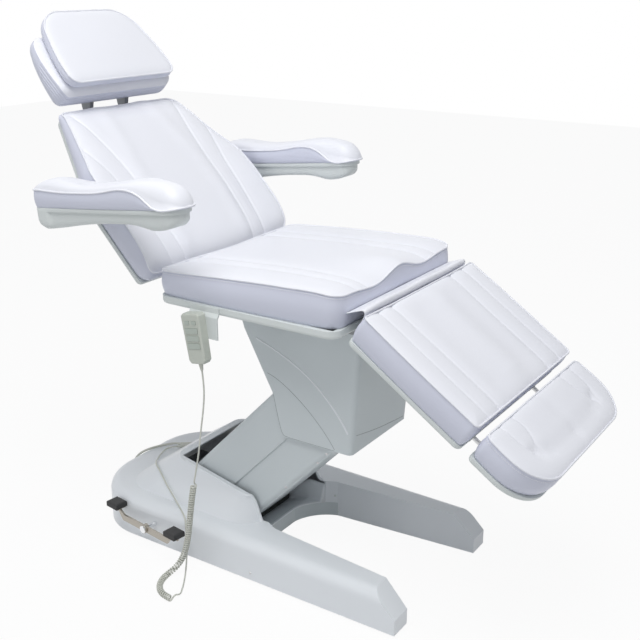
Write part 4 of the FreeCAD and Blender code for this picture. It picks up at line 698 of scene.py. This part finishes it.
def backFace(u, v):
    # wings stand up beside a flat middle
    wide = backHalf(u)
    side = np.clip((np.abs(v) / wide - backForm["wing"]) / (1 - backForm["wing"]), 0, 1)
    rest = backCrown(u)
    start, run = backForm["ridgeStart"]
    ridge = backForm["ridge"] * bump(np.abs(v), wide * backForm["ridgeAside"], backForm["ridgeWide"])
    ridge = ridge * np.clip((u - start) / run, 0, 1)
    return rest + (wingHeight(u) - rest) * side ** backForm["wingCurve"] + ridge


backPad = dict(
    name="backCushionSewn", replaces="back_cushion", body="backrest", place=backPlace, step=3.4,
    length=(14, 549), corners=(26, 14), levels=12, low=(9.5, 9.5), bulge=5, tuck=5,
    half=backHalf, face=backFace, rise=9, roll=18, fill=0.8,
    seams=[
        dict(line=[(16, 150), (104, 158), (209, 164), (290, 162), (356, 168), (431, 180), (500, 198),
            (548, 212)], depth=3.2, soft=3.5),
        dict(line=[(16, 206), (100, 210), (161, 215), (289, 223), (354, 240), (405, 258)], depth=3, soft=3),
    ],
)

blockForm = dict(top=86, start=570, round=16, roundReach=11)


def blockFace(u, v):
    # rounded over where the block meets the back cushion
    return blockForm["top"] - blockForm["round"] * np.exp((blockForm["start"] - u) / blockForm["roundReach"])


blockPad = dict(
    name="headrestBlockSewn", replaces="headrest_block", body="headrest", place=backPlace, step=3.2,
    length=(570, 764), corners=(26, 30), levels=36, low=(22.357, 57), bulge=2, tuck=8,
    half=smoothLine([(568, 216), (640, 224), (700, 222), (764, 206)]),
    face=blockFace, rise=8, roll=12, fill=0.9, seams=[], welt=False,
    pleats=[(9, 1.6), (17, 1.6), (25, 1.6), (33, 1.4)], pleatEnd=690,
)

pillowLow = toLocal(backPlace, meshValues(nodes["headrest_pillow"].data, "co"))[:, 2].min()
pillowPad = dict(
    name="headrestPillowSewn", replaces="headrest_pillow", body="headrest", place=backPlace, step=3.2,
    length=(577, 818), corners=(30, 62), levels=8, low=(pillowLow, pillowLow), bulge=3, tuck=3,
    half=smoothLine([(575, 205), (640, 205), (730, 188), (818, 160)]),
    face=swollen(pillowLow + 26, [(4, (700, 90), (0, 120))]), rise=6, roll=10, fill=0.85, seams=[],
)

legForm = dict(
    top=95, ends=(10, 365), endRun=60, side=5, sideStart=150, sideRun=110,
    panels=[(6, 12, 42), (-3, 84, 36), (-2.5, -78, 36)],  # rise, middle and width
)


def legFace(u, v):
    # a raised middle panel between two channels, and side panels that rise to the edge
    middle = sum(rise * bump(v, at, wide) for rise, at, wide in legForm["panels"])
    sides = legForm["side"] * np.clip((np.abs(v) - legForm["sideStart"]) / legForm["sideRun"], 0, 1)
    start, end = legForm["ends"]
    ends = np.clip((u - start) / legForm["endRun"], 0, 1) * np.clip((end - u) / legForm["endRun"], 0, 1)
    return legForm["top"] + middle * ends + sides


legPad = dict(
    name="legCushionSewn", replaces="leg_cushion", body="legrest", place=legPlace, step=3.4,
    length=(10, 365), corners=(9, 12), levels=14, low=(28.5, 28.5), bulge=4, tuck=4,
    half=smoothLine([(9, 280), (90, 283), (366, 283)]),
    face=legFace, rise=7, roll=13, fill=0.85,
    seams=[
        dict(line=[(10, 155), (120, 153), (250, 152), (364, 152)], depth=3, soft=4),
        dict(line=[(10, 219), (120, 219), (250, 219), (364, 219)], depth=3, soft=3),
    ],
)

footPad = dict(
    name="footCushionSewn", replaces="foot_cushion", body="footrest", place=legPlace, step=3.4,
    length=(392, 563), corners=(16, 88), levels=14, low=(28.5, 28.5), bulge=4, tuck=5,
    half=smoothLine([(391, 276), (450, 279), (565, 266)]),
    face=swollen(96, [(3, (0, math.inf), (0, 170)), (-3, (440, 60), (6, 30))]), rise=8, roll=13, fill=0.85,
    seams=[
        dict(line=[(490, 187), (508, 150), (516, 90), (518, 0)], depth=3, soft=5),
        dict(line=[(393, 150), (433, 146), (471, 165), (490, 186)], depth=2.6, soft=2),
        dict(line=[(490, 186), (470, 207), (440, 212), (396, 214)], depth=2.6, soft=2),
    ],
    stitchDown=9, stitchOut=2.4,
)

armTop = smoothLine([(0, 52), (14, 62), (40, 70), (72, 71), (110, 66), (150, 60), (200, 58), (256, 60),
    (300, 64), (345, 68), (385, 68), (420, 63), (450, 55), (475, 46), (493, 38)])
armEdge = smoothLine([(0, 46), (20, 46), (60, 43), (110, 40), (170, 39), (230, 40), (270, 44), (300, 48),
    (330, 48), (364, 40), (385, 28), (400, 16), (412, 7), (422, 3), (493, 3)])
armLow = 30.5
armRear = 46  # from the pivot back to the rear end of the armrest


def armFace(u, v):
    # the seam of the side panel dives to the base before the front end
    return armLow + armEdge(u + armRear)


def armCrown(u):
    return armLow + armTop(u + armRear)


armPads = []
for sideName, place in (("left", leftArmPlace), ("right", rightArmPlace)):
    armPads.append(dict(
        name=sideName + "ArmPadSewn", replaces="armrest_pad_" + sideName, body="armrest_" + sideName,
        place=place, step=2.6, length=(-45, 446), corners=(10, 43), levels=8, low=(armLow, armLow),
        bulge=2.5, tuck=1.5, half=smoothLine([(-46, 43), (30, 45), (400, 45), (447, 44)]),
        face=armFace, crown=armCrown, rise=0, roll=45, fill=0.9, seams=[],
    ))

for pad in [seatPad, backPad, blockPad, pillowPad, legPad, footPad] + armPads:
    cushion(pad)
print("cushions made")


# The flap of leatherette between seat and leg rest
flapForm = dict(
    half=262, columns=96, thick=0.0016, wave=1.6, waves=8, waveStart=0.6, droop=5,
    line=[(7, 40), (6, 72), (4, 94), (0, 104), (-6, 107), (-12, 103), (-22, 89), (-32, 74), (-37, 64)],
    onSeat=(-37, 0, 64), onLeg=(0, 0, 104),
)
flapLine = finerLine(flapForm["line"])
flapPoints = []
for row, (along, out) in enumerate(flapLine):
    loose = math.sin(math.pi * row / (len(flapLine) - 1))
    for across in np.linspace(-1, 1, flapForm["columns"] + 1):
        wave = flapForm["wave"] * math.sin(across * flapForm["waves"] + flapForm["waveStart"])
        droop = flapForm["droop"] * abs(across) ** 10
        flapPoints.append((along, across * flapForm["half"], out + (wave - droop) * loose))
flapFaces = gridFaces(len(flapLine) - 1, flapForm["columns"])
flap = meshObject("seatFlapCloth", toWorld(legPlace, flapPoints), flapFaces, leather)
thickened(flap, flapForm["thick"])
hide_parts("seat_flap")
flapSeat, flapLeg = toWorld(legPlace, [flapForm["onSeat"], flapForm["onLeg"]])
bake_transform(flap)
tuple(flapSeat)
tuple(flapLeg)
flapSize = (2 * flapForm["half"] * 0.001, lineLength(flapLine) * 0.001)
print("flap made")


# Cords
def routeCurve(name, points, diameter, material):
    data = bpy.data.curves.new(name, "CURVE")
    data.dimensions = "3D"
    data.bevel_depth = diameter / 2
    data.bevel_resolution = 4
    data.resolution_u = 8
    data.use_fill_caps = True
    data.materials.append(material)
    spline = data.splines.new("NURBS")
    spline.points.add(len(points) - 1)
    for place, point in zip(spline.points, points):
        place.co = (*point, 1)
    spline.order_u = 3
    spline.use_endpoint_u = True
    piece = bpy.data.objects.new(name, data)
    scene.collection.objects.link(piece)
    return piece


def routeLine(points):
    # the points that the route's own curve passes through
    piece = routeCurve("routeDraft", points, 0, cordJacket)
    bpy.context.view_layer.update()
    mesh = bpy.data.meshes.new_from_object(piece.evaluated_get(bpy.context.evaluated_depsgraph_get()))
    line = meshValues(mesh, "co")
    bpy.data.meshes.remove(mesh)
    data = piece.data
    bpy.data.objects.remove(piece)
    bpy.data.curves.remove(data)
    return line


def spaced(line, count):
    # the same line with evenly spaced points
    marks = np.concatenate([[0], np.cumsum(np.linalg.norm(np.diff(line, axis=0), axis=1))])
    at = np.linspace(0, marks[-1], count)
    return np.column_stack([np.interp(at, marks, line[:, axis]) for axis in range(3)])


handset = dict(
    wire=0.0045, sides=8, curlRadius=0.00675, curls=60, perCurl=20, growth=2, turnsFrom=1.2,
    leadPoints=60, restHeight=0.05, tailRun=0.012, sinkAxis=(-0.530, 0, 0.848), sink=0.2468, y=-331,
    lead=[(-131.3, 0, 630.7), (-127, 0, 592), (-128, 0, 553), (-134, 0, 511), (-142, 0, 468),
        (-149, 0, 424), (-156, 0, 382), (-166, 0, 338), (-174.2, 0, 301.5)],
    axis=[(-174.2, 0, 301.5), (-182, 0, 268), (-190, 0, 222), (-197, 0, 176), (-204, 0, 132),
        (-213, 0, 93), (-222, -2, 61), (-233, -7, 37), (-243, -20, 19), (-249, -40, 11.5), (-246, -66, 11),
        (-235, -92, 11), (-216, -112, 11), (-192, -124, 11), (-165, -126, 11)],
    tail=[(-162, -422, 4.25), (-176, -397, 4.25), (-194, -369, 4.25), (-214, -341, 4.25),
        (-235, -313, 5.25), (-252, -291, 11), (-262, -277, 26), (-266, -271, 47), (-267, -270, 70),
        (-268, -269.5, 90), (-271, -266, 106), (-278, -259.5, 117), (-291, -250.5, 124.5),
        (-313, -237, 128.5), (-341, -220.5, 132.5), (-373, -204.5, 145), (-398, -198, 163),
        (-421, -190, 182.5), (-446, -177, 192.5), (-470, -162, 193.5), (-491, -142, 188),
        (-512, -118, 178), (-533, -93, 165), (-554, -68, 151), (-573, -44, 141), (-587, -20, 137),
        (-593, 3, 138), (-593, 18, 141), (-584, 32.3, 143), (-573, 44, 143)],
)


def handsetLine(part):
    return routeLine(drawn([(x, y + handset["y"], z) for x, y, z in handset[part]]))


def curled(along):
    # turns made so far: the wire first moves out to the curl, and turns fully one curl later
    begun = along - handset["turnsFrom"]
    if begun < 0:
        return 0
    return begun ** 2 / 2 if begun < 1 else begun - 0.5


curls = handset["curls"]
axisLine = spaced(handsetLine("axis"), curls * handset["perCurl"] + 1)
curlLine = []
for k, (spot, side, up) in enumerate(carried(axisLine, np.array([0.0, -1.0, 0.0]))):
    along = k / handset["perCurl"]
    angle = 2 * math.pi * (curled(along) - curled(curls)) - math.pi / 2
    grow = min(1, along / handset["growth"])
    reach = handset["curlRadius"] * eased(grow)
    curlLine.append(spot + reach * (math.cos(angle) * side + math.sin(angle) * up))
curlLine = np.array(curlLine)
split = int(np.argmax(axisLine[:, 2] < handset["restHeight"]))
hangLine = np.concatenate([spaced(handsetLine("lead"), handset["leadPoints"])[:-1], curlLine[: split + 1]])
tailStart = Vector(curlLine[-1])
tailHeading = (tailStart - Vector(curlLine[-2])).normalized()
tailPoints = [tailStart, tailStart + tailHeading * handset["tailRun"]] + drawn(handset["tail"])
floorLine = np.concatenate([curlLine[split:], routeLine(tailPoints)[1:]])
hangCord = tube("handsetCordHanging", hangLine, handset["wire"] / 2, handset["sides"], cordJacket)
fitted(hangCord, "base", "cord", "handset_lead", "handset_curl")
lineLength(hangLine)
sinkAxis = Vector(handset["sinkAxis"]).normalized()
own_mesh(hangCord)
floorCord = tube("handsetCordFloor", floorLine, handset["wire"] / 2, handset["sides"], cordJacket)
fitted(floorCord, "base", "cord", "handset_tail")
lineLength(floorLine)

# the mains cord lies wound behind the base in two layers, the lower inward and the upper outward
mains = dict(
    diameter=0.007, centre=(-712, 190), low=5.1, inner=24, step=8, turns=4, tail=45,
    perHalf=9, dip=3.5, upperStart=4.5, upperSlip=3,  # points to a half turn, and steps between layers
    lead=[(-576, 66, 143), (-592.3, 61.2, 143), (-610, 51, 139.5), (-627, 33, 137), (-641, 9, 136),
        (-654, -15, 132.5), (-667, -33, 123), (-676.5, -46, 104), (-680, -53, 80), (-682, -55, 56),
        (-684, -52, 34), (-686, -42, 17), (-688, -24, 8), (-690, 0, 5.1), (-691, 28, 5.1),
        (-690.5, 58, 5.1), (-687, 88, 5.1), (-680, 115, 5.1), (-670, 138, 5.1), (-658, 164, 5.1)],
)
mainsPoints = list(mains["lead"])
halves = 2 * mains["turns"]
inner = mains["inner"]
step = mains["step"]
radii = [inner + step * (halves - half) / 2 for half in range(halves + 1)] + [inner - mains["dip"]]
for half in range(halves):
    radii.append(inner + mains["upperStart"] + step * (half // 2) + mains["upperSlip"] * (half % 2))
for k in range((len(radii) - 1) * mains["perHalf"] + 1):
    half = k / mains["perHalf"]
    radius = float(np.interp(half, range(len(radii)), radii))
    climb = min(1, max(0, half - halves))
    x, y = mains["centre"]
    height = mains["low"] + step * eased(climb)
    turn = math.pi * half
    mainsPoints.append((x + radius * math.cos(turn), y + radius * math.sin(turn), height))
lastX, lastY, lastZ = mainsPoints[-1]
mainsPoints += [(lastX, lastY - share * mains["tail"], lastZ) for share in (0.5, 1)]
mainsRoute = drawn(mainsPoints)
mainsLead = routeCurve("mainsCordWound", mainsRoute, mains["diameter"], cordJacket)
fitted(mainsLead, "base", "cord", "mains_lead", "mains_coil")
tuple(mainsRoute[0])
lineLength(routeLine(mainsRoute))
print("cords made")


# Moulded lines, lips, screws and rivets of the covers; the skirt's lines carry a painted highlight and
# painted shade
def surfaceOf(node):
    mesh = nodes[node].data
    corners = [corner.co for corner in mesh.vertices]
    return BVHTree.FromPolygons(corners, [face.vertices for face in mesh.polygons])


def laidOn(surface, points, sink):
    # a line drawn just off a piece, laid on its skin and sunk a little into it
    laid = []
    for spot in drawn(finerLine(points)):
        place, facing, _, _ = surface.find_nearest(spot)
        laid.append(place - facing * sink)
    return laid


bothSides = (("near", -1), ("far", 1))
skirtPaintedLightLines = dict(
    side=150,
    ridge=[(-96, 669), (-29, 646), (24, 621), (67, 596), (109, 563), (148, 524), (178, 486), (192, 462)],
    seam=[(-62, 577), (-39, 570), (-8, 555), (31, 529), (66, 502), (105, 465), (135, 431), (152, 407)],
    edge=[(-44, 521), (-34, 476), (-24, 434), (-15, 407), (0, 404), (70, 404), (150, 404)],
    band=[(214, -128, 455), (214, -30, 434), (214, 60, 421), (214, 128, 413)],
    forms=dict(ridge=(0.0032, 0.0014, basePlastic), seam=(0.0009, 0.0004, gapShadow),
               edge=(0.0007, 0.0003, gapShadow)),  # radius, how far it is sunk, and finish: the ridge takes the lighter base plastic as a painted highlight, the seam and edge a dark finish as painted shade
)
skirtSkin = surfaceOf("column_skirt")
# the ridge is painted lighter than the skirt as a highlight, and the seam and edge are dark lines of painted
# shade in the skirt's gap and groove
for sideName, sign in bothSides:
    for part, (radius, sink, material) in skirtPaintedLightLines["forms"].items():
        sideLine = laidOn(skirtSkin, [(x, sign * skirtPaintedLightLines["side"], z) for x, z in skirtPaintedLightLines[part]], sink)
        bead(sideName + "Skirt" + part.capitalize(), sideLine, radius, material, "column", "base_plastic")
# the front band is a dark line of painted shade along the step in the skirt's front face
radius, sink, material = skirtPaintedLightLines["forms"]["seam"]
bandLine = laidOn(skirtSkin, skirtPaintedLightLines["band"], sink)
bead("skirtFrontBand", bandLine, radius, material, "column", "base_plastic")

collarLip = dict(
    radius=0.0052, sink=0.002,
    rim=[(-352, 160, 252), (-300, 160, 240), (-230, 160, 224), (-165, 160, 210), (-130, 158, 199),
        (-108, 153, 184), (-98, 152, 162), (-90, 152, 140), (-82, 153, 122)],
)
coverSkin = surfaceOf("base_cover")
for sideName, sign in bothSides:
    rimLine = laidOn(coverSkin, [(x, sign * y, z) for x, y, z in collarLip["rim"]], collarLip["sink"])
    rimLine = finerLine([tuple(spot) for spot in rimLine])
    bead(sideName + "CollarLip", rimLine, collarLip["radius"], basePlastic, "base", "base_plastic")

# the moulded sill behind the arch, low enough for the lower link at its lowest
archSill = dict(
    half=145.9, wallStart=137, wallRise=63, top=49.6, rear=-196, rows=22, columns=120,
    thick=0.0025, straight=-122.0, straightHalf=60, bendX=12.3, bendY=33.5, bendRadius=136.9,
    low=43, slope=0.325, slopeStart=-110, behind=2, lip=1,
)
across = np.linspace(-archSill["half"], archSill["half"], archSill["columns"] + 1)
aside = np.abs(across)
bend = np.sqrt(np.clip(archSill["bendRadius"] ** 2 - (aside - archSill["bendY"]) ** 2, 0, None))
front = np.where(aside <= archSill["straightHalf"], archSill["straight"], archSill["bendX"] - bend)
front -= archSill["behind"]
wall = np.clip((aside - archSill["wallStart"]) / (archSill["half"] - archSill["wallStart"]), 0, 1)
sillPoints = []
for row in range(archSill["rows"] + 1):
    x = front + (archSill["rear"] - front) * max(0, row - 1) / (archSill["rows"] - 1)
    low = archSill["low"] + archSill["slope"] * (x + setForward - archSill["slopeStart"])
    rise = archSill["wallRise"] * eased(wall) if row else -archSill["lip"]
    sillPoints += zip(x, across, np.minimum(archSill["top"], low) + rise)
sillFaces = gridFaces(archSill["rows"], archSill["columns"])
sill = meshObject("archSillMoulded", drawn(sillPoints), sillFaces, basePlastic)
thickened(sill, archSill["thick"])
fitted(sill, "base", "base_plastic")

# steel pan in the foot of the base, under the links
panSize = dict(x=(-454, -185), y=(-232, 232), z=(8, 10))
panPoints = [(x, y, z) for x in panSize["x"] for y in panSize["y"] for z in panSize["z"]]
panFaces = [(0, 1, 3, 2), (4, 6, 7, 5), (0, 4, 5, 1), (2, 3, 7, 6), (0, 2, 6, 4), (1, 5, 7, 3)]
pan = meshObject("basePan", drawn(panPoints), panFaces, framePaint, False)
fitted(pan, "base", "frame_paint")

# armrest bases: a rim band over a drawn-in body with a rounded front, bored for the pin
restBase = dict(
    length=(-46, 437), corners=(14, 42), step=5, half=smoothLine([(-46, 44), (437, 44)]),
    top=30.2, inset=5.5, insetStart=(-2, 12), insetFront=(395, 42), leastHalf=0.6,
    band=[(1.6, 0, 0), (0.4, 0, 0.6), (0, 0, 1.8), (0, 0, 10), (0, 0.6, 11)],  # narrower, drawn in, down
    under=12, levels=(0, 0.25, 0.5, 0.7, 0.85, 0.94, 1), heel=9, heelStart=0.6,
    bore=0.0065, boreReach=(-14, 60), boreSides=24, sharp=38,
    low=smoothLine([(-46, 6), (-38, -12), (-24, -23), (0, -25), (40, -22), (110, -14), (180, -9),
        (240, -8), (290, -10), (318, -15), (344, -21), (372, -21), (400, -16), (420, -8), (437, 4)]),
)


def restRing(rows, halves, inset, heights):
    # the rear end stays flush with the band, and the body is drawn in ahead of it
    start, run = restBase["insetStart"]
    drawnIn = inset * np.clip((rows - start) / run, 0, 1)
    start, run = restBase["insetFront"]
    along = rows - drawnIn * np.clip((rows - start) / run, 0, 1)
    wide = np.maximum(halves - drawnIn, restBase["leastHalf"])
    heights = np.broadcast_to(heights, rows.shape)
    left = np.column_stack([along, -wide, heights])
    right = np.column_stack([along, wide, heights])
    return np.concatenate([left, right[::-1]])


def restMoulding(name, place, inward):
    rows = rowsOf(restBase)
    halves = halfAt(restBase, rows)
    top = restBase["top"]
    under = top - restBase["under"]
    low = restBase["low"](rows)
    heelStart = restBase["heelStart"]
    rings = [restRing(rows, halves - less, inset, top - down) for less, inset, down in restBase["band"]]
    for share in restBase["levels"]:
        heel = restBase["heel"] * max(0, (share - heelStart) / (1 - heelStart)) ** 3
        heights = under + (low - under) * share
        rings.append(restRing(rows, halves - heel, restBase["inset"] + share, heights))
    count = 2 * len(rows)
    faces = wallFaces(len(rings), count)
    for start in (0, (len(rings) - 1) * count):
        for k in range(len(rows) - 1):
            faces.append((start + k, start + k + 1, start + count - 2 - k, start + count - 1 - k))
    piece = meshObject(name, toWorld(place, np.concatenate(rings)), faces, trimPlastic)
    reach = [(0, inward * across, 0) for across in restBase["boreReach"]]
    borer = tube(name + "Bore", toWorld(place, reach), restBase["bore"], restBase["boreSides"], trimPlastic)
    bored = piece.modifiers.new("bored", "BOOLEAN")
    bored.operation = "DIFFERENCE"
    bored.solver = "EXACT"
    bored.object = borer
    settle(piece)
    bpy.data.objects.remove(borer)
    piece.data.shade_smooth()
    piece.data.set_sharp_from_angle(angle=math.radians(restBase["sharp"]))
    return piece


for sideName, place, inward in (("left", leftArmPlace, 1), ("right", rightArmPlace, -1)):
    moulding = restMoulding(sideName + "ArmBaseMoulded", place, inward)
    fitted(moulding, "armrest_" + sideName, "trim_plastic", "armrest_base_" + sideName)


fasteners = dict(
    screwHead=[(1.4, 0.4), (1.6, 1.7), (3, 1.5), (3.9, 0.5), (3.9, -1)],  # radius and height
    rivetHead=[(1.2, 1.7), (2.8, 1.3), (3.9, 0.3), (3.9, -1)], sides=20,
    linkCoverScrews=[(121, 140, 376), (97, 140, 334), (-12, 140, 236)],
    baseScrews=[(-46, 270, 28)],
    archRivets=[(-34, 145, 73), (-34, 145, 20)],
)


def turnedHead(name, material):
    # a screw or rivet head turned from its half profile
    profile = fasteners[name]
    sides = fasteners["sides"]
    angles = [2 * math.pi * k / sides for k in range(sides)]
    points = []
    for radius, height in profile:
        ring = [(radius * math.cos(angle), radius * math.sin(angle), height) for angle in angles]
        points += [Vector(spot) * 0.001 for spot in ring]
    return meshObject(name, points, wallFaces(len(profile), sides) + endFaces(len(profile), sides), material)


screwHead = turnedHead("screwHead", bareSteel)
rivetHead = turnedHead("rivetHead", trimPlastic)


def fasten(name, node, head, material, body, slot):
    # set on the skin of a piece, at the same places on both sides of the bed
    skin = surfaceOf(node)
    spots = [(x, sign * y, z) for sign in (-1, 1) for x, y, z in fasteners[name]]
    found = [skin.find_nearest(spot) for spot in drawn(spots)]
    mesh = bpy.data.meshes.new(name)
    mesh.from_pydata([tuple(spot[0]) for spot in found], [], [])
    facing = mesh.attributes.new("facing", "FLOAT_VECTOR", "POINT")
    facing.data.foreach_set("vector", [value for spot in found for value in spot[1]])
    fitted(grown(name, mesh, screwTree, {"Head": head, "Finish": material}), body, slot)


fasten("linkCoverScrews", "lower_link_cover", screwHead, bareSteel, "lower_link", "bare_steel")
fasten("baseScrews", "base_cover", screwHead, bareSteel, "base", "bare_steel")
fasten("archRivets", "base_cover", rivetHead, trimPlastic, "base", "trim_plastic")
for head in (screwHead, rivetHead):
    bpy.data.objects.remove(head)
print("moulded lines and fasteners made")


# Finishes of the frame's own pieces
finishes = [
    (basePlastic, ["base_cover"]),
    (coverPlastic, ["arch_panel", "upper_link_cover", "lower_link_cover", "column_skirt"]),
    (trimPlastic, ["seat_tray", "back_shell", "leg_shell", "foot_shell", "handset_hook"]),
    (framePaint, ["base_frame", "column_frame", "back_frame", "leg_frame", "headrest_bracket",
                  "upper_link_arms", "lower_link_arms"]),
    (bareSteel, ["base_pins", "column_pins", "back_pins", "foot_rods", "lift_rod", "back_rod", "leg_rod"]),
    (pedalSteel, ["pedal_bar"]),
    (chrome, ["pedal_pin"]),
    (blackRubber, ["pedal_pads", "levelling_feet", "tray_bumpers"]),
    (motorPaint, ["lift_motor", "back_motor", "leg_motor", "control_box"]),
    (handsetPlastic, ["handset_shell"]),
    (keyPlastic, ["key_memory_left", "key_memory_right", "key_back", "key_leg", "key_lift"]),
    (cordJacket, ["handset_boot", "cable_gland", "mains_plug"]),
    (tieNylon, ["coil_tie"]),
]
for material, names in finishes:
    for name in names:
        nodes[name].data.materials.clear()
        nodes[name].data.materials.append(material)
print("finishes set")
